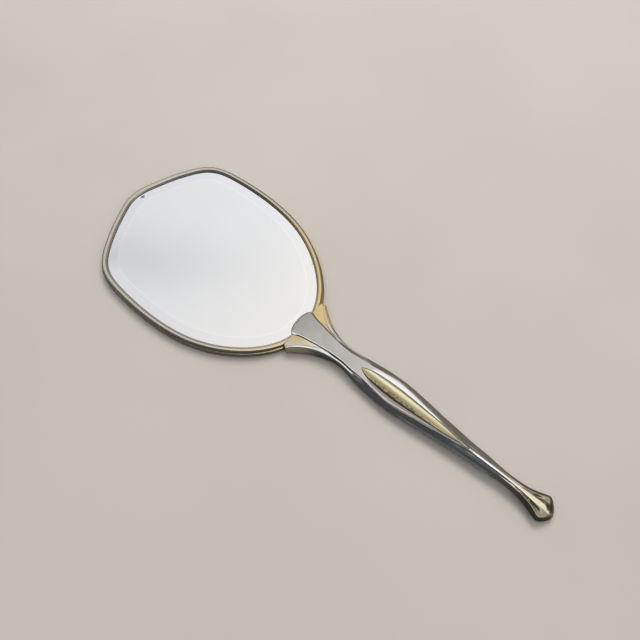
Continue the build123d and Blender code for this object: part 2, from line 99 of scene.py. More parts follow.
# ================================================================ outline of the head
# (half width, station) of the opening, from the crown to the handle end
HALF_OUTLINE = [
    (0.0, 4.83), (7.72, 6.05), (15.09, 8.75), (22.34, 11.74), (28.93, 14.75),
    (35.82, 18.5), (42.48, 22.63), (48.48, 27.67), (52.76, 34.2), (55.07, 41.69),
    (56.24, 49.44), (56.89, 56.65), (57.33, 64.49), (57.52, 72.33), (57.36, 80.18),
    (56.82, 88.0), (55.91, 95.8), (54.53, 103.52), (52.69, 110.52), (50.09, 117.92),
    (46.89, 125.08), (43.04, 131.92), (38.63, 138.4), (33.63, 144.45), (28.0, 149.9),
    (22.23, 154.28), (15.33, 157.98), (7.81, 160.17), (0.0, 160.85),
]
RING_N = 520


def closed_spline(points, count):
    """Closed cubic through clockwise points, sampled evenly, with outward normals."""
    points = np.array(points, float)
    number = len(points)
    lengths = np.linalg.norm(np.roll(points, -1, 0) - points, axis=1)
    knots = np.concatenate([[0], np.cumsum(lengths)])
    matrix = np.zeros((number, number))
    target = np.zeros((number, 2))
    for i in range(number):
        before, after = lengths[i - 1], lengths[i]
        following = (i + 1) % number
        matrix[i, (i - 1) % number] += before
        matrix[i, i] += 2 * (before + after)
        matrix[i, following] += after
        target[i] = 6 * ((points[following] - points[i]) / after
                         - (points[i] - points[i - 1]) / before)
    bend = np.linalg.solve(matrix, target)

    def evaluate(position):
        k = np.clip(np.searchsorted(knots, position, side="right") - 1, 0, number - 1)
        length = lengths[k]
        t = ((position - knots[k]) / length)[:, None]
        length = length[:, None]
        start, end = points[k], points[(k + 1) % number]
        bend0, bend1 = bend[k], bend[(k + 1) % number]
        place = (start * (1 - t) + end * t + length * length / 6
                 * (((1 - t) ** 3 - (1 - t)) * bend0 + (t ** 3 - t) * bend1))
        tangent = ((end - start) / length + length / 6
                   * ((1 - 3 * (1 - t) ** 2) * bend0 + (3 * t ** 2 - 1) * bend1))
        return place, tangent

    fine = np.linspace(0, knots[-1], 4001)
    place, _ = evaluate(fine[:-1])
    place = np.vstack([place, place[:1]])
    travel = np.linalg.norm(np.diff(place, axis=0), axis=1)
    travel = np.concatenate([[0], np.cumsum(travel)])
    even = np.linspace(0, travel[-1], count + 1)[:-1]
    place, tangent = evaluate(np.interp(even, travel, fine))
    tangent /= np.linalg.norm(tangent, axis=1)[:, None]
    return place, np.stack([-tangent[:, 1], tangent[:, 0]], 1)


OUTLINE, OUTWARD = closed_spline(
    [(x, CROWN_Y - station) for x, station in HALF_OUTLINE]
    + [(-x, CROWN_Y - station) for x, station in HALF_OUTLINE[-2:0:-1]], RING_N)


def ring_at(offset, z):
    """The outline moved outwards by offset, at height z."""
    return np.column_stack([OUTLINE + OUTWARD * offset, np.full(RING_N, float(z))])


def shrunk(ring, factor, centre_y):
    ring = ring.copy()
    ring[:, 0] *= factor
    ring[:, 1] = centre_y + (ring[:, 1] - centre_y) * factor
    return ring


# ================================================================ mesh helpers
def add_mesh(name, points, faces, material, slot, replaced, sharp, attributes, merge=2e-6):
    """A closed piece from points in mm. sharp is in degrees, merge in metres."""
    mesh = bpy.data.meshes.new(name)
    mesh.from_pydata((np.asarray(points, float) * MM).tolist(), [],
                     [list(map(int, face)) for face in faces])
    for key, values in attributes.items():
        layer = mesh.attributes.new(key, "FLOAT", "POINT")
        layer.data.foreach_set("value", np.asarray(values, np.float32))
    work = bmesh.new()
    work.from_mesh(mesh)
    bmesh.ops.remove_doubles(work, verts=work.verts, dist=merge)
    bmesh.ops.dissolve_degenerate(work, edges=work.edges, dist=merge * 0.5)
    bmesh.ops.recalc_face_normals(work, faces=work.faces)
    work.to_mesh(mesh)
    work.free()
    mesh.shade_smooth()
    mesh.set_sharp_from_angle(angle=math.radians(sharp))
    piece = bpy.data.objects.new(name, mesh)
    bpy.context.scene.collection.objects.link(piece)
    mesh.materials.append(material)
    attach(piece, "root")
    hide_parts(replaced)
    return piece


def grid_faces(rows, columns, close_rows=False, close_columns=False, base=0):
    faces = []
    for i in range(rows - (0 if close_rows else 1)):
        near = base + i * columns
        far = base + ((i + 1) % rows) * columns
        for j in range(columns - (0 if close_columns else 1)):
            k = (j + 1) % columns
            faces.append((near + j, near + k, far + k, far + j))
    return faces


def add_slab(name, top, low, groove, low_groove, *where, sharp=50.0, merge=2e-6):
    """A closed piece between two grids of (x, station, z).

    groove holds the attribute for each point of top, low_groove the one value for low, and
    where is the material, a slot, which is not used, and the replaced node.
    """
    rows, columns = top.shape[:2]
    size = rows * columns
    points = np.concatenate([top.reshape(-1, 3), low.reshape(-1, 3)])
    points[:, 1] = CROWN_Y - points[:, 1]
    faces = grid_faces(rows, columns) + grid_faces(rows, columns, base=size)
    for i in range(rows - 1):
        for j in (0, columns - 1):
            near, far = i * columns + j, (i + 1) * columns + j
            faces.append((near, far, size + far, size + near))
    for j in range(columns - 1):
        for i in (0, rows - 1):
            near = i * columns + j
            faces.append((near, near + 1, size + near + 1, size + near))
    values = np.concatenate([np.ravel(groove), np.full(size, float(low_groove))])
    return add_mesh(name, points, faces, *where, sharp, {"groove": values}, merge)


def fillet(points, segments=4):
    """Closed polygon of (offset, z[, radius]) with its corners rounded by the radii."""
    rounded = []
    for i, point in enumerate(points):
        corner = np.array(point[:2], float)
        radius = point[2] if len(point) > 2 else 0.0
        back = np.array(points[i - 1][:2], float) - corner
        ahead = np.array(points[(i + 1) % len(points)][:2], float) - corner
        back_length, ahead_length = np.linalg.norm(back), np.linalg.norm(ahead)
        back, ahead = back / back_length, ahead / ahead_length
        angle = math.acos(np.clip(back @ ahead, -1, 1))
        if radius <= 0 or angle > 3.05 or angle < 0.05:
            rounded.append(tuple(corner))
            continue
        trim = min(radius / math.tan(angle / 2), 0.49 * back_length, 0.49 * ahead_length)
        radius = trim * math.tan(angle / 2)
        bisector = (back + ahead) / np.linalg.norm(back + ahead)
        centre = corner + bisector * (radius / math.sin(angle / 2))
        first, last = corner + back * trim - centre, corner + ahead * trim - centre
        start = math.atan2(first[1], first[0])
        end = math.atan2(last[1], last[0])
        turn = (end - start + math.pi) % (2 * math.pi) - math.pi
        for k in range(segments + 1):
            t = start + turn * k / segments
            rounded.append((centre[0] + radius * math.cos(t), centre[1] + radius * math.sin(t)))
    return rounded


# ================================================================ node graphs
class Value:
    """A node output. Arithmetic on it adds math nodes."""

    def __init__(self, graph, socket):
        self.graph = graph
        self.socket = socket

    def __add__(self, other):
        return self.graph.math("ADD", self, other)

    def __radd__(self, other):
        return self.graph.math("ADD", other, self)

    def __sub__(self, other):
        return self.graph.math("SUBTRACT", self, other)

    def __rsub__(self, other):
        return self.graph.math("SUBTRACT", other, self)

    def __mul__(self, other):
        return self.graph.math("MULTIPLY", self, other)

    def __abs__(self):
        return self.graph.math("ABSOLUTE", self)

    def max(self, other):
        return self.graph.math("MAXIMUM", self, other)

    def clamped(self):
        """Clamp the math node that made this value."""
        self.socket.node.use_clamp = True
        return self

    def ramp(self, start, end, low=0.0, high=1.0, kind="SMOOTHSTEP"):
        """Goes from low at start to high at end."""
        inputs = {"Value": self, "From Min": start, "From Max": end, "To Min": low,
                  "To Max": high}
        return self.graph.node("ShaderNodeMapRange", inputs, interpolation_type=kind)


class Graph:
    def __init__(self, tree, output="ShaderNodeOutputMaterial"):
        self.tree = tree
        tree.nodes.clear()
        self.output = tree.nodes.new(output)

    def feed(self, node, inputs):
        """Link or set inputs given as {name or index: value}. Colours are given as RGB."""
        for key, value in inputs.items():
            socket = node.inputs[key]
            if isinstance(value, Value):
                self.tree.links.new(value.socket, socket)
            else:
                socket.default_value = (*value, 1.0) if socket.type == "RGBA" else value

    def node(self, kind, inputs=None, output=0, **properties):
        node = self.tree.nodes.new(kind)
        for key, value in properties.items():
            setattr(node, key, value)
        self.feed(node, inputs or {})
        return Value(self, node.outputs[output])

    def finish(self, shader):
        self.feed(self.output, {0: shader})

    def math(self, operation, first, second=0.0):
        return self.node("ShaderNodeMath", {0: first, 1: second, 2: 0.0}, operation=operation)

    def noise(self, scale, detail, rough, distort=0.0, stretch=(1, 1, 1), turn=(0, 0, 0)):
        place = self.node("ShaderNodeTexCoord", output="Object")
        place = self.node("ShaderNodeMapping",
                          {"Scale": stretch, "Rotation": turn, "Vector": place})
        return self.node("ShaderNodeTexNoise",
                         {"Vector": place, "Scale": scale, "Detail": detail,
                          "Roughness": rough, "Distortion": distort}, output="Fac")

    def mix(self, factor, first, second):
        return self.node("ShaderNodeMix", {0: factor, 6: first, 7: second}, output=2,
                         data_type="RGBA")

    def mix_float(self, factor, first, second):
        return self.node("ShaderNodeMix", {0: factor, 2: first, 3: second}, data_type="FLOAT")

    def mix_shader(self, ray_kind, first, second):
        """First shader, with the second for one kind of ray."""
        ray = self.node("ShaderNodeLightPath", output=ray_kind)
        return self.node("ShaderNodeMixShader", {0: ray, 1: first, 2: second})

    def attribute(self, name):
        return self.node("ShaderNodeAttribute", output="Fac", attribute_name=name)

    def bump(self, height, strength, distance, **normal):
        inputs = {"Strength": strength, "Distance": distance, "Height": height}
        if normal:
            inputs["Normal"] = normal["normal"]
        return self.node("ShaderNodeBump", inputs)

    def split(self, vector):
        parts = self.node("ShaderNodeSeparateXYZ", {0: vector})
        return [Value(self, socket) for socket in parts.socket.node.outputs]

    def xyz(self):
        """Object coordinates in metres."""
        return self.split(self.node("ShaderNodeTexCoord", output="Object"))


def new_material(name):
    material = bpy.data.materials.new(name)
    material.use_nodes = True
    graph = Graph(material.node_tree)
    shader = graph.node("ShaderNodeBsdfPrincipled")
    graph.finish(shader)
    return material, graph, shader.socket.node


def lin(*rgb):
    """sRGB 0..255 to linear."""
    shares = [channel / 255.0 for channel in rgb]
    return tuple(c / 12.92 if c <= 0.04045 else ((c + 0.055) / 1.055) ** 2.4 for c in shares)


# ================================================================ materials
SILVER = lin(206, 203, 198)
SILVER_WARM = lin(186, 178, 163)
TARNISH = lin(74, 62, 48)


def metal_finish(graph, shader, base, rough, rough_spread, scratch, grain):
    """Blotches, tarnished grooves, fine scratches and grain. Returns the roughness."""
    big = graph.noise(scale=38.0, detail=3.0, rough=0.5, distort=0.6)
    mid = graph.noise(scale=190.0, detail=4.0, rough=0.6, distort=0.2)
    blotch = big.ramp(start=0.35, end=0.72) * 0.35
    colour = graph.mix(blotch, base, graph.mix(0.5, base, SILVER_WARM))
    speck = graph.noise(scale=900.0, detail=3.0, rough=0.7).ramp(start=0.66, end=0.78)
    colour = graph.mix(speck * 0.30, colour, TARNISH)
    rough = rough + (mid - 0.5) * (rough_spread * 2)
    patchy = mid.ramp(start=0.25, end=0.55, low=0.65, high=1.0)
    groove = (graph.attribute("groove") * patchy).clamped()
    colour = graph.mix(groove, colour, TARNISH)
    rough = rough + groove * 0.25
    # long thin streaks in two directions
    along = graph.noise(scale=3.2, detail=2.0, rough=0.6, stretch=(9, 420, 420))
    across = graph.noise(scale=3.0, detail=2.0, rough=0.6, stretch=(520, 12, 520),
                         turn=(0, 0, 0.5))
    streak = along.ramp(start=0.62, end=0.74).max(across.ramp(start=0.64, end=0.76))
    rough = (rough + streak * (0.10 * scratch)).clamped()
    fine = graph.noise(scale=2600.0, detail=2.0, rough=0.6)
    relief = fine * grain + streak * (-0.5 * scratch)
    normal = graph.bump(relief, strength=0.10, distance=0.00004)
    normal = graph.bump(big, strength=0.10, distance=0.0003, normal=normal)
    graph.feed(shader, {"Base Color": colour, "Roughness": rough, "Metallic": 1.0,
                        "Normal": normal})
    return rough


def rim_material():
    """Grey silver towards the crown, warm gilt towards the handle and the +X side."""
    material, graph, shader = new_material("rim_metal")
    x, y, z = graph.xyz()
    warmth = y * -11.0 + x * 5.0
    warmth = warmth + (graph.noise(scale=30.0, detail=3.0, rough=0.5) - 0.5) * 0.9
    gold = warmth.ramp(start=0.0, end=1.15)
    low = z.ramp(start=0.0038, end=0.0030)
    gold = gold.max(low * warmth.ramp(start=-0.9, end=0.3))
    base = graph.mix(gold, lin(196, 190, 178), lin(232, 210, 150))
    metal_finish(graph, shader, base, rough=0.22, rough_spread=0.05, scratch=0.5, grain=0.3)
    metallic = graph.mix_float(warmth.ramp(start=-0.7, end=0.3), 0.74, 0.94)
    graph.feed(shader, {"Metallic": metallic})
    return material


def silver_material():
    """Polished silver, gilt at the cuff and again at the tip of the handle, with painted
    highlights and painted shade on the tip, the tail's ridge and the cuff's side.
    """
    material, graph, shader = new_material("polished_silver")
    x, y, z = graph.xyz()
    ragged = y + (graph.noise(scale=60.0, detail=3.0, rough=0.5) - 0.5) * 0.012
    tip = ragged.ramp(start=-0.215, end=-0.250)
    # The cuff is gilt; on the -X side the gilt keeps to the band below the shoulder, which is
    # partly a painted reflection of the table.
    cuff = ragged.ramp(start=-0.100, end=-0.086) * (
        z.ramp(start=0.0082, end=0.0070).max(x.ramp(start=0.0, end=0.001)))
    # At the tip the ridge is pale cream, a painted highlight, and the flanks beside it are dark
    # khaki, painted shade.
    tip_flank_shade = abs(x).ramp(start=0.0008, end=0.0018)
    gold = (tip * 0.75).max(cuff * 0.85)
    warm = graph.mix(tip_flank_shade * tip, lin(250, 240, 205), lin(128, 116, 84))
    warm = graph.mix(cuff, warm, lin(222, 198, 140))
    base = graph.mix(gold, SILVER, warm)
    # the tail's ridge is made near white: partly rubbed bright by wear, partly a painted
    # highlight
    ridge = (abs(x).ramp(start=0.0010, end=0.0004) * y.ramp(start=-0.2060, end=-0.2150)
             * ragged.ramp(start=-0.250, end=-0.222))
    base = graph.mix(ridge, base, (1.0, 1.0, 1.0))
    metal_finish(graph, shader, base, rough=0.15 + cuff * 0.15, rough_spread=0.04,
                 scratch=0.6, grain=0.2)
    graph.feed(shader, {"Metallic": graph.mix_float(cuff, 0.92, 0.55)})
    return material


def satin_material():
    """Satin on the tongue, polished on the rails."""
    material, graph, shader = new_material("satin_silver")
    _, y, _ = graph.xyz()
    polish = y.ramp(start=-0.118, end=-0.136)
    big = graph.noise(scale=45.0, detail=3.0, rough=0.5, distort=0.5)
    fine = graph.noise(scale=1500.0, detail=3.0, rough=0.7)
    brush = graph.noise(scale=1.4, detail=3.0, rough=0.65, stretch=(900, 40, 900))
    colour = graph.mix(big.ramp(start=0.3, end=0.75), lin(200, 198, 194), lin(184, 181, 176))
    speck = graph.noise(scale=700.0, detail=3.0, rough=0.7).ramp(start=0.62, end=0.75)
    colour = graph.mix(speck * 0.25, colour, lin(120, 114, 104))
    colour = graph.mix((graph.attribute("groove") * 0.8).clamped(), colour, TARNISH)
    colour = graph.mix(polish, colour, SILVER)
    rough = 0.40 + (fine - 0.5) * 0.25
    rough = rough * (1.0 - graph.attribute("bright") * 0.75)
    relief = (fine * 0.6 + brush * 0.6) * (1.0 - polish * 0.85)
    graph.feed(shader, {"Base Color": colour, "Metallic": 1.0,
                        "Roughness": graph.mix_float(polish, rough, 0.13),
                        "Normal": graph.bump(relief, strength=0.30, distance=0.00005)})
    return material


def wing_material():
    """Gilt, with silver at the narrow ends, painted shade in khaki on the -X wing and a pale
    painted sheen along its outside.
    """
    material, graph, shader = new_material("wing_gilt")
    x, y, _ = graph.xyz()
    big = graph.noise(scale=70.0, detail=3.0, rough=0.55, distort=0.4)
    base = graph.mix(big.ramp(start=0.3, end=0.7), lin(240, 216, 150), lin(230, 204, 138))
    ends = (y + (big - 0.5) * 0.008).ramp(start=-0.088, end=-0.097)
    # painted sheen: a pale strip along the outside of the -X wing
    outer = (x + y * 0.55).ramp(start=-0.0540, end=-0.0600) * 0.9
    left = x.ramp(start=0.0, end=-0.001)
    silver_ends_and_painted_sheen = (ends * 0.75).max(outer * left)
    # painted shade: the -X wing is mixed towards khaki
    base = graph.mix(left * 0.75, base, lin(208, 192, 150))
    base = graph.mix(silver_ends_and_painted_sheen, base, lin(214, 200, 184))
    metal_finish(graph, shader, base, rough=0.28, rough_spread=0.06, scratch=0.5, grain=0.5)
    return material


def worn_painted_light_material():
    """Gilt with a painted cream highlight on the +X side of the crown, painted shade in khaki on
    the -X side, and small worn pits.
    """
    material, graph, shader = new_material("worn_gilt_painted_light")
    x, y, _ = graph.xyz()
    big = graph.noise(scale=70.0, detail=3.0, rough=0.55, distort=0.4)
    base = graph.mix(big.ramp(start=0.3, end=0.7), lin(241, 228, 188), lin(233, 218, 170))
    # painted shade: the -X side is mixed towards khaki
    side = (x + (big - 0.5) * 0.0012).ramp(start=0.0013, end=-0.0007)
    base = graph.mix(side * 0.95, base, lin(162, 152, 120))
    # painted highlight: the +X side turns near-white cream
    base = graph.mix(x.ramp(start=0.0008, end=0.0017), base, lin(255, 250, 224))
    wear = graph.noise(scale=3.4, detail=6.0, rough=0.75, distort=0.4, stretch=(300, 170, 300))
    pits = graph.noise(scale=1500.0, detail=2.0, rough=0.6)
    near = x.ramp(start=0.0002, end=-0.0022)
    along = y.ramp(start=-0.122, end=-0.140) * y.ramp(start=-0.200, end=-0.170)
    level = near * along
    worn = (wear * 0.6 + pits * 0.4 + level * 0.13).ramp(start=0.600, end=0.650)
    base = graph.mix(worn * 0.8, base, lin(92, 80, 56))
    rough = metal_finish(graph, shader, base, rough=0.20, rough_spread=0.05, scratch=0.6,
                         grain=0.3)
    graph.feed(shader, {"Roughness": (rough + worn * 0.25).clamped()})
    return material


def mirror_material():
    """Silvering under clear glass, with specks of lost silver near the rim."""
    material, graph, shader = new_material("silvered_glass")
    x, y, _ = graph.xyz()
    edge = graph.attribute("rimness")
    spots = graph.noise(scale=420.0, detail=4.0, rough=0.65, distort=0.3)
    lost = (spots + edge * 0.13).ramp(start=0.80, end=0.83)
    haze = graph.noise(scale=26.0, detail=4.0, rough=0.6, distort=0.3)
    colour = graph.mix(haze.ramp(start=0.35, end=0.75), (0.925, 0.93, 0.93),
                       (0.905, 0.912, 0.912))
    colour = graph.mix(graph.attribute("bevel"), colour, (0.920, 0.918, 0.938))
    # painted highlight: the inner edge of the bevel is made near white
    colour = graph.mix(graph.attribute("arris_painted_highlight") * 0.8, colour, (0.99, 0.99, 0.99))
    # one patch near the crown, centred on these x and y in metres, where the silver has gone
    patch = abs(x - 0.0039) * 0.8 + abs(y - 0.0750)
    patch = patch + (spots - 0.5) * 0.004
    lost = lost.max(patch.ramp(start=0.0022, end=0.0010))
    colour = graph.mix(lost * 0.8, colour, lin(60, 54, 46))
    dust = graph.noise(scale=1300.0, detail=2.0, rough=0.6).ramp(start=0.70, end=0.80)
    rough = 0.015 + haze.ramp(start=0.4, end=0.8) * 0.02
    rough = (rough + dust * 0.03 + lost * 0.35).clamped()
    # light bent by the bevel comes back at half the angle a bare metal facet would give
    normal = graph.node("ShaderNodeNewGeometry", output="Normal")
    normal = graph.node("ShaderNodeVectorMath", {0: normal, 1: (0, 0, 1)}, operation="ADD")
    normal = graph.node("ShaderNodeVectorMath", {0: normal}, operation="NORMALIZE")
    graph.feed(shader, {"Base Color": colour, "Metallic": 1.0, "Roughness": rough,
                        "Normal": normal, "Coat Weight": 0.6, "Coat Roughness": 0.01,
                        "Coat IOR": 1.45})
    return material


def back_material():
    """Grey silver that turns gilt towards the handle."""
    material, graph, shader = new_material("back_metal")
    _, y, _ = graph.xyz()
    gold = (y * -9.0 + graph.noise(scale=30.0, detail=3.0, rough=0.5)).ramp(start=0.2, end=1.4)
    base = graph.mix(gold, lin(186, 181, 170), lin(214, 192, 142))
    metal_finish(graph, shader, base, rough=0.27, rough_spread=0.06, scratch=0.8, grain=0.4)
    return material


RIM = rim_material()
POLISHED = silver_material()
SATIN = satin_material()
WING_GILT = wing_material()
WORN_GILT_PAINTED_LIGHT = worn_painted_light_material()
MIRROR = mirror_material()
BACK = back_material()


def finish_hidden(node, name, light, dark, rough, scale, metallic=0.0, bump=0.3,
                  distance=0.0002, stretch=(1, 1, 1)):
    """Give a hidden CAD node, which keeps its shape, a plain finish of its own."""
    material, graph, shader = new_material(name)
    big = graph.noise(scale=scale, detail=5.0, rough=0.65, distort=0.2, stretch=stretch)
    fine = graph.noise(scale=scale * 7, detail=3.0, rough=0.7, stretch=stretch)
    colour = graph.mix(big.ramp(start=0.3, end=0.7), lin(*light), lin(*dark))
    graph.feed(shader, {"Base Color": colour, "Metallic": metallic,
                        "Roughness": (rough + (fine - 0.5) * 0.2).clamped(),
                        "Normal": graph.bump(fine, strength=bump, distance=distance)})
    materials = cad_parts[node].data.materials
    materials.clear()
    materials.append(material)


finish_hidden("backing_board", "grey_board", light=(150, 128, 98), dark=(120, 100, 76),
              rough=0.85, scale=120.0)
finish_hidden("felt_pad", "green_felt", light=(46, 58, 48), dark=(34, 42, 36),
              rough=0.95, scale=400.0, bump=0.6)
finish_hidden("tang_strap", "plain_steel", light=(150, 150, 150), dark=(122, 122, 124),
              rough=0.38, scale=160.0, metallic=1.0, bump=0.15, distance=0.0001,
              stretch=(8, 1, 8))
finish_hidden("cuff_screws", "screw_steel", light=(176, 170, 158), dark=(138, 130, 114),
              rough=0.30, scale=300.0, metallic=1.0, bump=0.15, distance=0.0001)
finish_hidden("handle_filler", "pitch", light=(52, 44, 38), dark=(34, 29, 25),
              rough=0.7, scale=200.0)

# ================================================================ head
GLASS_BOTTOM, GLASS_TOP = 3.0, 6.0
EDGE_TOP = 5.2      # top of the glass at its thin edge
LAP = 1.6           # glass hidden outside the opening
BEVEL = 7.0         # bevel width seen inside the opening
SLOPE = (GLASS_TOP - EDGE_TOP) / (LAP + BEVEL)
LIP_Z = EDGE_TOP + SLOPE * LAP
GLASS_CENTRE_Y = CROWN_Y - 78.0
BACK_CENTRE_Y = CROWN_Y - 80.0


def build_glass():
    # (offset, z): from the underside round the edge, up the bevel to the flat middle
    rings = [(-BEVEL - 6, GLASS_BOTTOM), (LAP - 0.25, GLASS_BOTTOM),
             (LAP - 0.06, GLASS_BOTTOM + 0.06), (LAP, GLASS_BOTTOM + 0.25),
             (LAP, EDGE_TOP - 0.2), (LAP - 0.06, EDGE_TOP - 0.05),
             (LAP - 0.22, EDGE_TOP + 0.02)]
    for k in range(1, 15):
        offset = lerp(LAP - 0.22, -BEVEL + 0.22, k / 14)
        rings.append((offset, EDGE_TOP + SLOPE * (LAP - offset)))
    rings += [(-BEVEL + 0.08, GLASS_TOP - SLOPE * 0.10),
              (-BEVEL - 0.06, GLASS_TOP - SLOPE * 0.02),
              (-BEVEL - 0.22, GLASS_TOP), (-BEVEL - 0.55, GLASS_TOP)]
    middle = 15
    points = [ring_at(*ring) for ring in rings]
    points += [shrunk(points[-1], 1 - k / (middle + 1), GLASS_CENTRE_Y)
               for k in range(1, middle + 1)]
    count = len(points)
    points = np.vstack(points + [[[0, GLASS_CENTRE_Y, GLASS_TOP]],
                                 [[0, GLASS_CENTRE_Y, GLASS_BOTTOM]]])
    faces = grid_faces(count, RING_N, close_columns=True)
    last, centre = (count - 1) * RING_N, count * RING_N
    for j in range(RING_N):
        k = (j + 1) % RING_N
        faces.append((last + j, last + k, centre))
        faces.append((j, centre + 1, k))

    def per_point(values):
        return np.concatenate([np.repeat(values + [0.0] * middle, RING_N), [0, 0]])

    add_mesh("mirror_glass_bevelled", points, faces, MIRROR, "mirror", "mirror_glass", 3.0, {
        "rimness": per_point([max(0.0, min(1.0, (offset + BEVEL) / BEVEL))
                              for offset, z in rings]),
        "bevel": per_point([1.0 if -BEVEL < offset < LAP else 0.0 for offset, z in rings]),
        "arris_painted_highlight": per_point([math.exp(-((offset + BEVEL) / 0.35) ** 2) if z > 5 else 0.0
                            for offset, z in rings])})


def sweep_ring(name, profile, replaced, groove):
    """Sweep a closed (offset, z[, radius]) profile round the outline."""
    profile = fillet(profile)
    points = np.stack([ring_at(*point) for point in profile], axis=1).reshape(-1, 3)
    values = np.tile([groove(*point) for point in profile], RING_N)
    add_mesh(name, points, grid_faces(RING_N, len(profile), True, True), RIM, "frame_metal",
             replaced, 40.0, {"groove": values})


# (offset, z[, corner radius]): lip, cove, rounded bead, undercut, skirt
BEZEL = [
    (-0.1, LIP_Z + 0.06, 0.1), (-0.06, LIP_Z + 0.42, 0.16), (0.28, 6.12, 0.4),
    (0.55, 6.55), (0.85, 6.95), (1.2, 7.25), (1.6, 7.43), (2.05, 7.5), (2.5, 7.46),
    (2.9, 7.32), (3.3, 7.05), (3.65, 6.7), (3.92, 6.25), (4.07, 5.8), (4.1, 5.4),
    (4.02, 5.0), (3.82, 4.62), (3.55, 4.32), (3.25, 4.1), (2.98, 3.98),
    (2.9, 3.86, 0.05), (2.9, 1.52, 0.15), (2.32, 1.52, 0.15), (2.32, 4.35, 0.1),
    (LAP + 0.1, EDGE_TOP + 0.03),
]
# (offset, z[, corner radius]): border sheet and lower bead
BACK_FRAME = [
    (-4.65, 1.4), (-4.65, 0.95), (-4.6, 0.8, 0.06), (-4.0, 0.8, 0.3), (-3.6, 1.0, 0.3),
    (-3.0, 1.0, 0.3), (-2.6, 0.8, 0.3), (2.6, 0.8, 0.5), (3.3, 0.83), (3.9, 0.92),
    (4.4, 1.13), (4.72, 1.42), (4.87, 1.75), (4.9, 2.05), (4.83, 2.4), (4.65, 2.75),
    (4.38, 3.07), (4.05, 3.33), (3.7, 3.52), (3.35, 3.63), (3.08, 3.66),
    (2.98, 3.6, 0.06), (2.98, 1.4, 0.1),
]


def bezel_groove(offset, z):
    """Dark in the undercut and where the lip meets the glass."""
    if offset > 2.5:
        return float(np.clip((4.35 - z) / 0.35, 0, 1))
    return float(np.clip((0.35 - offset) / 0.35, 0, 1)) * 0.9


def back_frame_groove(offset, z):
    """Dark at the top of the bead and in the channel under the border."""
    if offset < 4.2 and z > 2:
        return float(np.clip((z - 3.45) / 0.2, 0, 1))
    return 0.35 if -4.0 < offset < -2.6 and 0.85 < z < 1.2 else 0.0


def build_back_plate():
    """Dished plate with rays round a blank oval. All relief is sunk upwards from z = 0."""
    count = 720
    rays = 90
    field_edge = -7.0
    sheet = 0.5
    oval_half_x, oval_half_y = 13.0, 18.0
    flange_bottom, flange_top = 1.42, 1.92
    # (fraction of the oval's radius, depth): two sunk lines round the oval
    oval_lines = [(0.885, 0.10), (0.895, 0.02), (0.93, 0.0), (0.965, 0.02), (0.975, 0.14),
                  (1.0, 0.16), (1.02, 0.14), (1.035, 0.0), (1.07, 0.0)]
    # (distance inside the field's edge, depth): two sunk lines round the field
    border_lines = [(5.0, 0.0), (4.5, 0.0), (4.35, 0.14), (4.0, 0.16), (3.65, 0.14),
                    (3.5, 0.0), (2.6, 0.0), (2.45, 0.10), (2.2, 0.10), (2.05, 0.0),
                    (0.25, 0.0), (0.05, 0.02)]
    # (offset, z): wall of the dish, flange and upper face
    wall = [(-6.8, 0.06), (-6.4, 0.33), (-5.4, 0.98), (-5.0, 1.28), (-4.75, 1.40),
            (-4.5, flange_bottom), (-1.85, flange_bottom), (-1.8, 1.5), (-1.8, 1.84),
            (-1.85, flange_top), (-5.0, flange_top), (-5.3, 1.85), (-7.0, 0.72),
            (-7.25, 0.56), (-7.6, sheet)]
    # even angles round the middle give the rays equal pitch
    angles = np.linspace(0, 2 * np.pi, count, endpoint=False)

    def outline_radius(offset):
        edge = ring_at(offset, 0.0)
        edge[:, 1] -= BACK_CENTRE_Y
        around = np.mod(np.arctan2(edge[:, 1], edge[:, 0]), 2 * np.pi)
        order = np.argsort(around)
        radius = np.hypot(edge[:, 0], edge[:, 1])[order]
        around = around[order]
        turns = np.concatenate([around - 2 * np.pi, around, around + 2 * np.pi])
        return np.interp(angles, turns, np.tile(radius, 3))

    def ring(radius, z):
        return np.column_stack([radius * np.cos(angles),
                                BACK_CENTRE_Y + radius * np.sin(angles), z + np.zeros(count)])

    oval = 1 / np.sqrt((np.cos(angles) / oval_half_x) ** 2
                       + (np.sin(angles) / oval_half_y) ** 2)
    field = outline_radius(field_edge)
    ray = 0.5 + 0.5 * np.cos(rays * angles)
    oval_depth, ray_depth = 0.10, 0.17
    points = [ring(oval * share, oval_depth) for share in np.linspace(0.12, 0.86, 8)]
    inside = len(points) * count
    points += [ring(oval * share, depth) for share, depth in oval_lines]
    for i in range(26):
        share = i / 25
        depth = ray_depth * smooth(0.0, 0.03, share) * (1 - smooth(0.97, 1.0, share))
        points.append(ring(lerp(oval * 1.085, field - 5.2, share),
                           depth * (0.15 + 0.85 * ray ** 0.8)))
    points += [ring(field - inset, depth) for inset, depth in border_lines]
    relief_end = len(points) * count
    points += [ring(outline_radius(offset), z) for offset, z in wall]
    upper = points[-1]
    points += [shrunk(upper, factor, BACK_CENTRE_Y) for factor in (0.75, 0.5, 0.25)]
    rows = len(points)
    points = np.vstack(points + [[[0, BACK_CENTRE_Y, oval_depth]],
                                 [[0, BACK_CENTRE_Y, sheet]]])
    faces = grid_faces(rows, count, close_columns=True)
    last, centre = (rows - 1) * count, rows * count
    for j in range(count):
        k = (j + 1) % count
        faces.append((j, centre, k))
        faces.append((last + j, last + k, centre + 1))
    groove = np.zeros(len(points))
    relief = points[inside:relief_end, 2]
    groove[inside:relief_end] = np.clip((relief - 0.03) / 0.13, 0, 1) * 0.55
    add_mesh("back_plate_rayed", points, faces, BACK, "back_metal", "back_plate", 30.0,
             {"groove": groove})


build_glass()
sweep_ring("bezel_ring_rolled", BEZEL, "bezel_ring", bezel_groove)
sweep_ring("back_frame_rolled", BACK_FRAME, "back_frame", back_frame_groove)
build_back_plate()

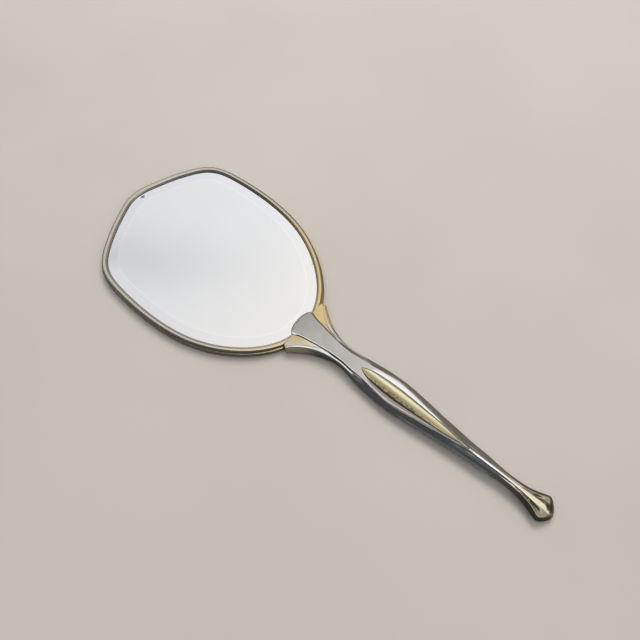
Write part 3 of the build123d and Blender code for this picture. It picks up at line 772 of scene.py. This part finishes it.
# ================================================================ handle: driving curves
# All tables are (station, value). Drops are measured down from top_z.
half_width = curve([
    (156, 25.6), (164.2, 20.8), (166.5, 18.9), (170.4, 16.1), (173.5, 14.0), (177.4, 11.7),
    (181.4, 9.9), (186, 8.3), (190.4, 7.2), (194, 6.75), (197.5, 6.7), (203, 7.3), (208, 8.5),
    (214, 9.5), (219.5, 10.2), (225, 10.75), (232, 11.0), (236, 11.1), (241, 10.8),
    (247, 10.3), (252, 9.7), (260, 8.8), (268, 7.8), (274, 7.3), (280, 6.7), (290, 5.7),
    (300, 5.15), (310, 4.2), (317, 3.75), (323, 4.0), (330, 4.8), (336, 6.4), (340.6, 8.0),
    (342.2, 8.35), (343.8, 8.0), (345.5, 6.75), (347.2, 4.95), (348.6, 2.9), (349.3, 1.5),
    (349.62, 0.25)])
# height of the widest point, where the two shells meet
widest_z = curve([
    (156, 3.2), (175, 3.4), (190, 3.7), (200, 4.3), (220, 5.0), (245, 5.8), (270, 6.8),
    (290, 7.3), (311, 7.5), (325, 7.0), (336, 6.0), (342, 5.0), (349.6, 3.0)])
bottom_z = curve([
    (156, 0.05), (172, 0.05), (182, 0.15), (192, 0.35), (200, 0.45), (215, 0.55),
    (235, 0.95), (250, 1.6), (265, 2.4), (280, 3.3), (295, 4.0), (311, 4.4), (322, 3.6),
    (332, 1.9), (339, 0.45), (343, 0.0), (346, 0.15), (348.5, 1.1), (349.62, 2.3)])
top_z = curve([
    (155, 7.45), (156.5, 7.9), (158.5, 8.55), (161, 9.05), (165, 9.5), (170, 9.8), (180, 9.8),
    (194, 9.35), (207, 9.5), (220, 9.95), (235, 10.3), (265, 10.6), (290, 10.8), (311, 11.0),
    (325, 10.3), (335, 9.6), (341.2, 8.8), (342.5, 8.3), (344.5, 7.2), (346.5, 6.0),
    (348.5, 4.6), (349.62, 3.6)])
# half width of the spine plate: tongue, then rail crests, ending in a point
LOBE_HALF = 9.8
spine_half = curve([
    (161, LOBE_HALF), (165, 8.3), (169, 7.4), (174, 6.6), (178, 5.9), (183, 5.3), (188, 4.7),
    (192, 4.4), (197, 4.4), (204, 5.0), (208, 5.15), (213, 5.4), (219, 6.2), (223, 6.7),
    (228, 7.3), (233, 7.75), (237, 7.5), (241, 7.1), (244, 6.8), (251, 5.7), (257, 4.8),
    (264, 3.9), (270, 2.75), (277, 1.75), (284, 0.75), (290, 0.0)])
# half width of the grip panel
panel_half = curve([
    (209, 0.0), (211.8, 1.6), (215.5, 2.8), (220, 3.5), (225.5, 3.9), (231, 4.15),
    (236.5, 4.2), (243, 3.95), (250, 3.55), (258.5, 3.0), (267, 2.4), (275, 1.55),
    (281.5, 0.75), (286.5, 0.0)])
# drops of the rail crests and of the valleys beside the panel
crest_drop = curve([
    (200, 0.0), (208, 0.06), (213, 0.12), (235, 0.20), (255, 0.20), (270, 0.15), (280, 0.1),
    (290, 0.0)])
valley_drop = curve([
    (200, 0.0), (205, 0.0), (209, 0.16), (213, 0.48), (222, 0.88), (235, 1.10), (250, 0.80),
    (262, 0.52), (274, 0.27), (282, 0.16), (287, 0.06), (290, 0.0)])
# the shoulder, where the top turns down into the side
shoulder_x = curve([
    (156, 23.0), (163.5, 18.3), (169, 12.9), (175, 9.9), (182, 7.7), (188, 6.5), (196, 5.85),
    (204, 6.5), (213, 7.7), (223, 9.1), (235, 10.0), (247, 9.0), (260, 7.5), (275, 5.9),
    (290, 4.7), (300, 4.1), (311, 3.4), (320, 3.2), (325, 3.5), (330, 4.25), (336, 5.9),
    (341.3, 7.75), (342.2, 7.9), (345.5, 6.2), (348.6, 2.5), (349.62, 0.2)])
shoulder_drop = curve([
    (156, 0.9), (161, 0.95), (165, 1.15), (172, 1.2), (182, 1.05), (192, 1.0), (204, 1.3),
    (220, 2.5), (235, 3.2), (250, 3.4), (270, 3.5), (290, 3.4), (311, 3.2), (325, 3.0),
    (330, 3.0), (336, 2.8), (341.5, 1.75), (346, 1.5), (348.5, 0.9), (349.62, 0.2)])
# tail: half width of the ridge, bottom of the flute, crest of the lobe
ridge_half = curve([
    (285, 0.35), (291, 0.45), (300, 0.46), (311, 0.46), (320, 0.5), (326, 0.6), (330, 0.85),
    (335, 1.3), (338, 1.65), (341.3, 2.1), (345, 1.2), (349.62, 0.05)])
flute_x = curve([
    (285, 1.4), (300, 1.2), (311, 1.0), (320, 0.98), (326, 1.25), (330, 1.65), (335, 2.4),
    (338, 3.1), (341.3, 3.9), (345, 3.2), (348.6, 1.2), (349.62, 0.09)])
flute_drop = curve([
    (285, 0.7), (300, 0.72), (311, 0.8), (320, 1.05), (326, 1.35), (330, 1.5), (335, 1.5),
    (338, 1.35), (341.3, 0.9), (345, 0.35), (348.6, 0.2), (349.62, 0.02)])
lobe_x = curve([
    (285, 3.0), (300, 2.3), (311, 1.95), (320, 1.8), (327, 2.1), (331, 2.85), (334, 3.5),
    (337, 4.5), (339, 5.5), (341.3, 6.4), (345, 5.0), (348.6, 1.9), (349.62, 0.14)])
lobe_drop = curve([
    (285, 1.35), (300, 1.35), (311, 1.35), (320, 1.25), (327, 1.1), (334, 0.9), (341.3, 0.7),
    (345, 0.7), (348.6, 0.45), (349.62, 0.05)])
# width of the narrow facet along each rail's crest, on its outer side
facet_width = curve([(200, 0.03), (215, 0.20), (235, 0.60), (250, 0.80), (285, 0.90),
                     (294, 0.60)])

OVERLAY = 0.7                   # thickness of the plates laid into the front shell
GAP = 0.16                      # seam round them
WALL = 0.85                     # side wall of the shells
CUFF, BACK_CUFF = 161.0, 161.5  # first stations of the front and back shells
TONGUE_END = 166.0              # where the rows of the tongue have turned straight
CORNER_X = 18.3                 # half width where the cuff's cut corner begins
FRONT_CUT, BACK_CUT = 1.15, 1.0  # how fast the cut runs back, per mm of width
WING_END = 184.5
PANEL_START, PANEL_END = 209.0, 286.5
SPINE_END = 290.0
TIP_ROWS = [348.7, 348.9, 349.08, 349.22, 349.34, 349.44, 349.53, 349.6]


# ================================================================ handle: surfaces
def side_z(x, station):
    """Surface outside the spine plate, from its edge to the shoulder."""
    inner = spine_half(station)
    crest = top_z(station) - crest_drop(station)
    end = top_z(station) - shoulder_drop(station)
    width = max(shoulder_x(station) - inner, 1e-6)
    q = np.clip((x - inner) / width, 0, 1)
    # cuff: wings slope down from just below the tongue, slightly dished
    cuff = crest - 0.40 + (end - crest + 0.40) * q ** 1.05 - 0.05 * np.sin(np.pi * q)
    # throat: a sunk line beside the tongue, then a sloping bead along the shoulder
    bead = end + 0.30
    throat = np.where(q < 0.34, bead - 0.50 * (1 - smooth(0.08, 0.34, q)),
                      bead - 0.30 * (np.clip(q - 0.34, 0, None) / 0.66) ** 1.1)
    # grip: a narrow facet at the rail crest, then a steeper fall to the shoulder
    facet = min(facet_width(station), 0.5 * width)
    steep = (crest - end - 0.30 * facet) / (width - facet)
    grip = (crest - 0.30 * np.minimum(q * width, facet)
            - steep * np.maximum(q * width - facet, 0))
    return lerp(lerp(cuff, throat, smooth(181, 191, station)), grip, smooth(203, 216, station))


def tail_z(x, station):
    """Surface from the middle to the shoulder beyond the end of the spine plate."""
    top, ridge, flute = top_z(station), ridge_half(station), flute_x(station)
    sink = flute_drop(station)
    end_x = max(shoulder_x(station), lobe_x(station) + 0.02)
    near = 0.30 * ridge
    foot = max(min(1.5 * ridge + 0.05, 0.78 * flute), near + 0.002)
    section = [(0.0, top)]
    for knot in [(near, top - 0.012 * min(1, ridge * 2)),
                 (foot, top - min(0.012 + 0.305 * (foot - near), 0.6 * sink)),
                 (flute, top - sink), (lobe_x(station), top - lobe_drop(station)),
                 (end_x, top - shoulder_drop(station))]:
        if knot[0] > section[-1][0] + 1e-3:
            section.append(knot)
    return curve(section)(np.minimum(x, end_x))


def outer_z(x, station):
    """Upper surface of the handle, without the recesses, up to the shoulder."""
    x = np.abs(np.asarray(x, float))
    start, end = SPINE_END - 14, SPINE_END + 4
    if station >= end:
        return tail_z(x, station)
    if station > start:
        return lerp(side_z(x, station), tail_z(x, station), smooth(start, end, station))
    return side_z(x, station)


def corner_fade(station):
    return 1 - smooth(161.0, 170.0, station)


def cut_half_width(station, rate):
    """Half width of a row whose outer columns are moved back to make the cut corner."""
    if station > 172:
        return half_width(station)
    low, high = 10.0, 25.0
    fade = corner_fade(station)
    for _ in range(40):
        middle = 0.5 * (low + high)
        if middle > half_width(station + max(middle - CORNER_X, 0) * rate * fade):
            high = middle
        else:
            low = middle
    return low


def seam_z(station):
    return min(widest_z(station), top_z(station) - shoulder_drop(station) - 0.8)


def side_curve(station, count):
    """(x, z) from the shoulder down to the widest point, leaving the top at its slope."""
    wide, x_start = cut_half_width(station, FRONT_CUT), shoulder_x(station)
    if station > 340:
        x_start = min(x_start, wide - 0.15)
    elif station < 172:
        x_start = min(x_start, 18.5 + (station - CUFF) * 0.6)
    z_start = outer_z(x_start, station)
    z_end = seam_z(station)
    slope = min(max((outer_z(x_start - 0.06, station) - z_start) / 0.06, 0.05), 1.6)
    z_control = max(z_start - slope * (wide - x_start), z_end + 0.12 * (z_start - z_end))
    t = np.linspace(0, 1, count)
    x = (1 - t) ** 2 * x_start + (1 - (1 - t) ** 2) * wide
    z = (1 - t) ** 2 * z_start + 2 * t * (1 - t) * z_control + t * t * z_end
    return x, z


def bottom_curve(station, count):
    """(x, z) from the widest point round to the middle of the underside."""
    z_start = seam_z(station)
    share = smooth(168, 194, station)
    x_power, z_power = lerp(5.0, 2.1, share), lerp(3.2, 2.1, share)
    angle = np.linspace(0, np.pi / 2, count)
    x = cut_half_width(station, BACK_CUT) * np.cos(angle) ** (2 / x_power)
    z = z_start - (z_start - bottom_z(station)) * np.sin(angle) ** (2 / z_power)
    x[-1] = 0.0
    return x, z


# ---------------------------------------------------------------- spine plate
def lobe_front(x):
    """Station of the lobe's front edge at a half width."""
    t = np.clip(x / LOBE_HALF, 0, 1)
    return CUFF - 4.7 * np.sqrt(np.clip(1 - t ** 2.15, 0, 1)) ** 0.92


def spine_z(x, station):
    """Top of the spine plate, for x from 0 to its half width."""
    top = top_z(station)
    wide = np.maximum(spine_half(station), 1e-3)
    q = np.clip(x / wide, 0, 1)
    tongue = top - 0.10 * (1 - q ** 2) * smooth(161, 168, station) - 0.04 * q ** 2
    inner = np.minimum(panel_half(station), wide - 0.05)
    crest = top - crest_drop(station)
    valley = top - valley_drop(station) - 0.08
    # each rail: a dished slope from the valley up to the crest
    across = np.clip((x - inner) / np.maximum(wide - inner, 1e-3), 0, 1)
    rail = crest - (crest - valley) * (1 - across) ** 1.32
    flat = top - (top - crest) * q ** 2
    rail = lerp(flat, rail, smooth(209, 214, station) * (1 - smooth(282, 287, station)))
    return lerp(tongue, rail, smooth(203, 211, station))


def chamfer(distance, strength):
    """Drop of the bevelled edge of the tongue at a distance from its outline."""
    width, drop = 0.72, 0.36
    bevel = drop * np.clip(1 - distance / width, 0, 1)
    soft = 0.03 * np.exp(-((distance - width) / 0.10) ** 2)
    return strength * (bevel + soft + 0.6 * edge_drop(distance, 0.12))


def strip_columns(count):
    """Column positions 0..1 with extra columns close to both ends."""
    return np.concatenate([[0, 0.008, 0.02, 0.035], np.linspace(0.06, 0.94, count),
                           [0.965, 0.98, 0.992, 1.0]])


def build_spine():
    t = strip_columns(10)
    columns = len(t)
    tops, is_open = [], []
    # front rows follow the lobe's edge and turn straight by TONGUE_END
    front = lobe_front(LOBE_HALF * t)
    for share in np.concatenate([[0, 0.01, 0.03, 0.055], np.linspace(0.09, 1.0, 18)]):
        wide = spine_half(lerp(CUFF, TONGUE_END, share))
        x = wide * t
        station = front * (1 - share) + TONGUE_END * share
        z = spine_z(x, station) - chamfer(np.minimum(station - front, wide - x), 1.0)
        tops.append(np.column_stack([x, station, z]))
        is_open.append(False)
    for station in np.concatenate([
            rows_between(166.6, PANEL_START, 0.7),
            rows_between(PANEL_START + 0.25, PANEL_START + 4, 0.35),
            rows_between(PANEL_START + 4.6, PANEL_END - 4, 0.7),
            rows_between(PANEL_END - 3.6, SPINE_END - 0.05, 0.4)]):
        outer = max(spine_half(station), 0.02)
        inner = panel_half(station) if PANEL_START < station < PANEL_END else 0.0
        inner = min(inner, outer - 0.015)
        width = outer - inner
        x = inner + width * t
        tongue = 1 - smooth(202, 214, station)
        z = spine_z(x, np.full(columns, station)) - chamfer(outer - x, tongue)
        radius = max(0.25 * min(1.0, width / 0.9), 0.02)
        z = z - edge_drop(outer - x, radius) * (1 - tongue)
        if inner > 0:
            radius = min(0.15, width * 0.3) * min(1.0, inner / 0.6)
            z = z - edge_drop(x - inner, max(radius, 1e-3))
        tops.append(np.column_stack([x, np.full(columns, station), z]))
        is_open.append(inner > 0)
    tops = np.array(tops)
    rows = len(tops)
    size = rows * columns
    bright = np.clip((1.0 - (spine_half(tops[:, :, 1]) - tops[:, :, 0])) / 0.25, 0, 1)
    low = tops.copy()
    low[:, :, 2] -= OVERLAY
    points, faces = [], []
    for i_side, side in enumerate((1, -1)):
        upper = i_side * 2 * size
        lower = upper + size
        for base, layer in ((upper, tops), (lower, low)):
            grid = layer.reshape(-1, 3).copy()
            grid[:, 0] *= side
            grid[:, 1] = CROWN_Y - grid[:, 1]
            points.append(grid)
            faces += grid_faces(rows, columns, base=base)
        for i in range(rows - 1):
            near, far = (i + 1) * columns - 1, (i + 2) * columns - 1
            faces.append((upper + near, upper + far, lower + far, lower + near))
            if is_open[i] or is_open[i + 1]:
                near, far = i * columns, (i + 1) * columns
                faces.append((upper + near, lower + near, lower + far, upper + far))
        last = (rows - 1) * columns
        for j in range(columns - 1):
            faces.append((upper + j, lower + j, lower + j + 1, upper + j + 1))
            k = last + j
            faces.append((upper + k, upper + k + 1, lower + k + 1, lower + k))
    zeros = np.zeros(size)
    add_mesh("spine_plate_tongue", np.concatenate(points), faces, SATIN, "satin_metal",
             "handle_spine_plate", 50.0,
             {"bright": np.concatenate([bright.ravel(), zeros] * 2),
              "groove": np.concatenate([zeros, np.ones(size)] * 2)}, merge=4e-6)


# ---------------------------------------------------------------- grip panel
def build_panel():
    t = np.sin(np.linspace(-np.pi / 2, np.pi / 2, 29))
    q = np.abs(t)
    clearance = 0.10
    top, groove = [], []
    for station in np.concatenate([
            np.linspace(PANEL_START + 0.35, PANEL_START + 4, 12),
            rows_between(PANEL_START + 4.6, PANEL_END - 6, 0.7),
            np.linspace(PANEL_END - 5.5, PANEL_END - 1.2, 10)]):
        wide = max(panel_half(station) - clearance, 0.015)
        x = wide * t
        crown = (top_z(station) + 0.02
                 - (valley_drop(station) * 0.95) * (0.50 * q ** 2 + 0.50 * q ** 4))
        z = crown - edge_drop(wide - np.abs(x), min(0.2, wide * 0.35))
        top.append(np.column_stack([x, np.full(len(t), station), z]))
        # tarnish along both edges, and painted shade darkening the -X side
        left = (np.clip((-t - 0.45) / 0.5, 0, 1) ** 1.3 * smooth(216, 228, station)
                * (1 - smooth(255, 275, station)))
        groove.append(np.maximum(np.clip((q - 0.93) / 0.07, 0, 1) * 0.8, left * 0.55))
    top = np.array(top)
    low = top.copy()
    low[:, :, 2] = np.minimum(top[:, :, 2] - 0.35, top[:, :, 2].min(axis=1)[:, None] - 0.25)
    add_slab("grip_panel_crowned", top, low, groove, 1, WORN_GILT_PAINTED_LIGHT, "gilt", "grip_panel")


# ---------------------------------------------------------------- wings
def wing_edges(station):
    """Inner and outer half widths of a gilt wing."""
    taper_start = 169.5
    inner = spine_half(station) + GAP * 2.0
    along = max(station - taper_start, 0) / (WING_END - taper_start)
    taper = np.clip(1 - along ** 1.25, 0, 1)
    return inner, inner + max(shoulder_x(station) - 0.10 - inner, 0) * taper


def build_wing(side, name, node):
    t = strip_columns(9)
    top = []
    for station in np.concatenate([[161.0, 161.08, 161.2, 161.4],
                                   rows_between(161.9, WING_END - 0.1, 0.55)]):
        inner, outer = wing_edges(station)
        if station < 163.6:
            outer = min(outer, CORNER_X + (station - CUFF) * 0.85)
        outer = max(outer, inner + 0.03)
        x = inner + (outer - inner) * t
        distance = np.minimum(np.minimum(x - inner, outer - x), station - CUFF)
        radius = max(min(0.16, (outer - inner) * 0.3), 0.01)
        z = side_z(x, station) + 0.015 - edge_drop(distance, radius)
        top.append(np.column_stack([x * side, np.full(len(t), station), z]))
    top = np.array(top)
    low = top.copy()
    low[:, :, 2] -= OVERLAY - 0.02
    add_slab(name, top, low, np.zeros(top.shape[:2]), 1, WING_GILT, "gilt", node)


# ---------------------------------------------------------------- front shell
def front_half(station):
    """Half section of the front shell, middle to seam: x, z and groove values."""
    has_spine = station < SPINE_END
    spine = spine_half(station)
    depth = OVERLAY + 0.06
    shoulder = shoulder_x(station)
    if has_spine:
        start = max(spine + GAP, 0.05)
    else:
        start = min(0.16 + (station - SPINE_END) * 0.12, 0.3 * shoulder)
    parts = []

    def put(x, z, groove=0.0):
        parts.append([np.broadcast_to(row, x.shape) for row in (x, z, groove)])

    # floor under the spine plate, or the ridge itself
    x = np.linspace(0, 1, 7) * (start - 0.02)
    if has_spine:
        floor = outer_z(max(spine, 0.02), station) - depth
        if 205 < station < 288:
            floor = min(floor, top_z(station) - valley_drop(station) - 0.75)
        put(x, floor, 1.0)
    else:
        put(x, outer_z(x, station))
    # land between the spine plate and the wing
    inner, outer = wing_edges(station)
    inner, outer = inner - GAP * 0.6, outer + GAP * 0.5
    if station >= WING_END:
        share = smooth(WING_END, WING_END + 10, station)
        inner = lerp(start + 0.10, lerp(start, shoulder, 0.25), share)
        outer = lerp(inner + 0.06, lerp(start, shoulder, 0.72), share)
    inner = max(inner, start + 0.04)
    outer = min(max(outer, inner + 0.03), shoulder - 0.03)
    x = np.linspace(start, inner, 3)
    z = outer_z(x, station)
    groove = 0.65 if station < WING_END else 0.0
    if has_spine:
        z = z - edge_drop(x - start, 0.10)
        if station >= WING_END:
            groove = np.array([0.8, 0.45, 0.2])
    put(x, z, groove)
    # floor under the wing, or the surface
    x = np.linspace(inner + 0.02, outer - 0.02, 9)
    if station < WING_END:
        put(x, outer_z(x, station) - depth, 1.0)
    else:
        groove = 0.0
        if station < 212:
            q = (x - start) / max(shoulder - start, 1e-6)
            groove = np.exp(-((q - 0.35) / 0.25) ** 2) * (1 - smooth(204, 212, station)) * 0.9
        put(x, outer_z(x, station), groove)
    # strip to the shoulder, then the side
    x = np.linspace(outer, shoulder, 8)[:-1]
    put(x, outer_z(x, station))
    x, z = side_curve(station, 15)
    put(x[:-1], z[:-1])
    # seam edge, broken by a small chamfer
    put(x[-1] - np.array([0.01, 0.10]), z[-1] + np.array([0.10, 0.015]), np.array([0.5, 1.0]))
    return np.concatenate(parts, axis=1)


def build_front_shell():
    stations = np.concatenate([
        [161.0, 161.06, 161.15, 161.35], rows_between(161.8, 289.6, 0.75), [289.9, 290.02],
        rows_between(290.5, 336, 0.6), rows_between(336.4, 341.0, 0.4),
        [341.2, 341.35, 341.5, 341.7, 342.0], rows_between(342.3, 348.5, 0.25), TIP_ROWS])
    top, low, grooves = [], [], []
    for station in stations:
        x, z, groove = front_half(station)
        z = z - edge_drop(station - CUFF, 0.25)
        half_x, half_z = x, z
        x = np.concatenate([-x[::-1], x[1:]])
        z, groove = (np.concatenate([row[::-1], row[1:]]) for row in (z, groove))
        # the cuff's front edge runs back at the corners
        cut = np.maximum(np.abs(x) - CORNER_X, 0) * FRONT_CUT * corner_fade(station)
        top.append(np.column_stack([x, station + cut, z]))
        grooves.append(groove)
        # arch of the inner wall; the shell is solid towards the tip
        seam = seam_z(station) + 0.015
        wide = half_width(station)
        hollow = 1 - smooth(331, 334.5, station)
        q = np.clip(np.abs(x) / max(wide - 0.1, 0.1), 0, 1)
        inner_x = lerp(x, x * (wide - WALL) / wide, hollow)
        reach = np.abs(inner_x)
        inner_z = np.interp(reach, half_x, half_z) - 0.55
        if station < 168:
            inner_z = np.minimum(inner_z, 8.3)
            inner_z = np.maximum(inner_z, np.where(reach < 17.5, 7.62, -9))
            inner_z = np.minimum(inner_z, z - 0.12)
        inner_z = np.maximum(lerp(seam, inner_z, hollow * (1 - q ** 14)), seam)
        low.append(np.column_stack([inner_x, station + cut, inner_z]))
    add_slab("handle_front_polished", np.array(top), np.array(low), np.array(grooves), 1,
             POLISHED, "handle_metal", "handle_front_shell", merge=1e-6, sharp=44.0)


# ---------------------------------------------------------------- back shell
def back_edge_shift(x):
    """How far the back shell's front edge lies behind BACK_CUFF: a lobe and cut corners."""
    lobe = 4.5 * np.sqrt(np.clip(1 - (x / 12.5) ** 2, 0, 1))
    return np.maximum(np.abs(x) - CORNER_X, 0) * BACK_CUT - lobe


def build_back_shell():
    count = 34
    outer, inner = [], []
    for station in np.concatenate([
            [161.5, 161.6, 161.8, 162.1], rows_between(162.6, 341.5, 0.85),
            rows_between(342, 348.5, 0.3), TIP_ROWS]):
        x, z = bottom_curve(station, count)
        # even out the columns along the curve
        travel = np.concatenate([[0], np.cumsum(np.hypot(np.diff(x), np.diff(z)))])
        even = np.linspace(0, travel[-1], count)
        x, z = np.interp(even, travel, x), np.interp(even, travel, z)
        seam = seam_z(station) - 0.015
        x = np.concatenate([[x[0] - 0.10, x[0] - 0.01], x[1:]])
        z = np.concatenate([[seam, seam_z(station) - 0.10], z[1:]])
        x = np.concatenate([x, -x[:-1][::-1]])
        z = np.concatenate([z, z[:-1][::-1]])
        wide = half_width(station)
        hollow = 1 - smooth(331, 334.5, station)
        inner_x = lerp(x, x * max(wide - WALL, 0.1) / wide, hollow)
        inner_z = lerp(seam, np.maximum(z, bottom_z(station)) + 0.7, hollow)
        q = np.clip(np.abs(x) / max(wide - 0.1, 0.1), 0, 1)
        inner_z = np.minimum(np.where(q > 0.985, seam, inner_z), seam)
        # round the lobe's lower edge
        z = z + edge_drop(station - BACK_CUFF, 0.25) * (z < 0.5)
        fade = 1 - smooth(BACK_CUFF, 168.0, station)
        outer.append(np.column_stack([x, station + back_edge_shift(x) * fade, z]))
        inner.append(np.column_stack([inner_x, station + back_edge_shift(inner_x) * fade,
                                      inner_z]))
    outer = np.array(outer)
    groove = np.zeros(outer.shape[:2])
    groove[:, [0, -1]] = 1.0
    groove[:, [1, -2]] = 0.5
    return add_slab("handle_back_polished", outer, np.array(inner), groove, 0, POLISHED,
                    "handle_metal", "handle_back_shell", merge=1e-6, sharp=44.0)


def cut_screw_holes(shell):
    """Countersunk holes for the two cuff screws. Sizes are in metres."""
    hole_x, hole_z, hole_depth = 0.0062, 0.00038, 0.0009
    low_radius, high_radius = 0.00200, 0.00112
    screws_lo, screws_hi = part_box("cuff_screws")
    hole_y = 0.5 * (screws_lo[1] + screws_hi[1])
    cutters = []
    for side in (-1, 1):
        work = bmesh.new()
        bmesh.ops.create_cone(work, cap_ends=True, segments=48, radius1=low_radius,
                              radius2=high_radius, depth=hole_depth,
                              matrix=Matrix.Translation((side * hole_x, hole_y, hole_z)))
        mesh = bpy.data.meshes.new("cut")
        work.to_mesh(mesh)
        work.free()
        cutter = bpy.data.objects.new("cut", mesh)
        bpy.context.scene.collection.objects.link(cutter)
        cutters.append(cutter)
        modifier = shell.modifiers.new("hole", "BOOLEAN")
        modifier.operation = "DIFFERENCE"
        modifier.solver = "EXACT"
        modifier.object = cutter
    bpy.context.view_layer.update()
    graph = bpy.context.evaluated_depsgraph_get()
    mesh = bpy.data.meshes.new_from_object(shell.evaluated_get(graph),
                                           preserve_all_data_layers=True, depsgraph=graph)
    shell.modifiers.clear()
    shell.data = mesh
    for cutter in cutters:
        bpy.data.objects.remove(cutter)


build_spine()
build_panel()
build_wing(1, "wing_right_gilt", "wing_inlay_right")
build_wing(-1, "wing_left_gilt", "wing_inlay_left")
build_front_shell()
cut_screw_holes(build_back_shell())


# ================================================================ stage
def floor_material():
    """Pale paint that looks dark in reflections."""
    material, graph, shader = new_material("floor_paint")
    cloud = graph.noise(scale=6.0, detail=3.0, rough=0.5).ramp(start=0.3, end=0.7)
    graph.feed(shader, {"Base Color": graph.mix(cloud, lin(196, 190, 182), lin(192, 186, 178)),
                        "Roughness": 0.75, "Specular IOR Level": 0.2})
    incoming = graph.node("ShaderNodeNewGeometry", output="Incoming")
    side = graph.split(incoming)[0].ramp(start=-0.15, end=0.15)
    colour = graph.mix(side, (0.15, 0.122, 0.10), (0.055, 0.057, 0.062))
    dark = graph.node("ShaderNodeBsdfDiffuse", {0: colour})
    paint = Value(graph, shader.outputs[0])
    graph.finish(graph.mix_shader("Is Glossy Ray", paint, dark))
    return material


def build_floor():
    half, z = 4.0, -0.0002
    mesh = bpy.data.meshes.new("floor")
    mesh.from_pydata([(-half, -half, z), (half, -half, z), (half, half, z), (-half, half, z)],
                     [], [(0, 1, 2, 3)])
    floor = bpy.data.objects.new("floor", mesh)
    bpy.context.scene.collection.objects.link(floor)
    mesh.materials.append(floor_material())


def build_world():
    """Reflections see a dark room with a bright soft ceiling; the camera sees plain grey."""
    world = bpy.data.worlds.new("studio")
    bpy.context.scene.world = world
    world.use_nodes = True
    graph = Graph(world.node_tree, "ShaderNodeOutputWorld")
    x, y, z = graph.split(graph.node("ShaderNodeTexCoord", output="Generated"))
    # angles from the zenith towards +X and towards +Y
    tilt_x = graph.math("ARCTAN2", x, abs(z))
    tilt_y = graph.math("ARCTAN2", y, abs(z).max(0.02))
    deg = math.pi / 180

    def band(angle, start, end, soft):
        """1 between two angles in degrees, with soft edges."""
        return (angle.ramp((start - soft) * deg, (start + soft) * deg)
                * angle.ramp((end + soft) * deg, (end - soft) * deg))

    ceiling = (band(tilt_x, start=-28, end=48, soft=3)
               * band(tilt_y, start=-76, end=66, soft=6))
    skylight = (band(tilt_x, start=-26, end=-9, soft=4)
                * band(tilt_y, start=-60, end=50, soft=8))
    window = (band(tilt_x, start=46, end=68, soft=3)
              * band(tilt_y, start=-60, end=60, soft=12))
    bright = (tilt_x * 0.8 - tilt_y).ramp(start=-62 * deg, end=2 * deg, low=0.62, high=0.93,
                                          kind="LINEAR")
    # walls: -X side, +X side, then the -Y and +Y ends
    wall = band(tilt_x, start=-66, end=-46, soft=8) * 0.8
    left = graph.mix(wall, (0.045, 0.052, 0.064), (0.15, 0.162, 0.18))
    room = graph.mix(x.ramp(start=-0.3, end=0.3), left, (0.16, 0.132, 0.112))
    room = graph.mix(y.ramp(start=-0.5, end=-0.85), room, (0.028, 0.028, 0.032))
    room = graph.mix(y.ramp(start=0.5, end=0.85), room, (0.26, 0.235, 0.205))
    tint = graph.mix(tilt_y.ramp(start=19 * deg, end=29 * deg), (1.0, 0.985, 0.955),
                     (0.962, 0.970, 0.990))
    # a slightly darker diagonal strip across the ceiling
    along = tilt_x * 0.77 + tilt_y * 0.63
    across = tilt_x * 0.63 - tilt_y * 0.77
    dip = (band(along, start=27.5, end=32.0, soft=3.2)
           * across.ramp(start=-3 * deg, end=-17 * deg))
    bright = bright - dip * 0.12
    top = graph.node("ShaderNodeVectorMath", {0: tint, "Scale": bright}, operation="SCALE")
    sky = graph.mix(ceiling, room, top)
    # a thin bar dims the skylight
    skylight = skylight * (1.0 - band(tilt_x, start=-11.6, end=-10.4, soft=0.7) * 0.6)
    sky = graph.mix(skylight, sky, (1.50, 1.53, 1.58))
    sky = graph.mix(window * (1.0 - ceiling), sky, (0.44, 0.42, 0.395))
    studio = graph.node("ShaderNodeBackground", {"Color": sky, "Strength": 1.0})
    plain = graph.node("ShaderNodeBackground", {"Color": lin(214, 211, 206), "Strength": 1.0})
    graph.finish(graph.mix_shader("Is Camera Ray", studio, plain))


def area_light(name, place, target, size, power, colour):
    light = bpy.data.lights.new(name, "AREA")
    light.energy = power
    light.color = colour
    light.shape = "RECTANGLE"
    light.size = size
    light.size_y = size
    lamp = bpy.data.objects.new(name, light)
    bpy.context.scene.collection.objects.link(lamp)
    aim = Vector(target) - Vector(place)
    lamp.rotation_euler = aim.to_track_quat("-Z", "Y").to_euler()
    lamp.location = place
    lamp.visible_glossy = False


def build_camera(place, right, forward, lens, sensor):
    camera = bpy.data.cameras.new("cam")
    holder = bpy.data.objects.new("cam", camera)
    bpy.context.scene.collection.objects.link(holder)
    right = Vector(right).normalized()
    forward = Vector(forward).normalized()
    up = right.cross(forward).normalized()
    turn = Matrix((right, up, -forward)).transposed()
    holder.matrix_world = Matrix.Translation(place) @ turn.to_4x4()
    camera.sensor_width = sensor
    camera.lens = lens
    camera.clip_start = 0.01
    bpy.context.scene.camera = holder


build_floor()
build_world()
area_light("key", place=(0.75, 0.25, 1.25), target=(0, -0.08, 0), size=0.7, power=12.0,
           colour=(1.0, 0.985, 0.96))
build_camera(place=(-0.11552, -0.18793, 0.37429), right=(0.6345, -0.7729, 0.0),
             forward=(0.3116, 0.2558, -0.9152), lens=34.59375, sensor=36)
bpy.context.scene.view_settings.view_transform = "Standard"
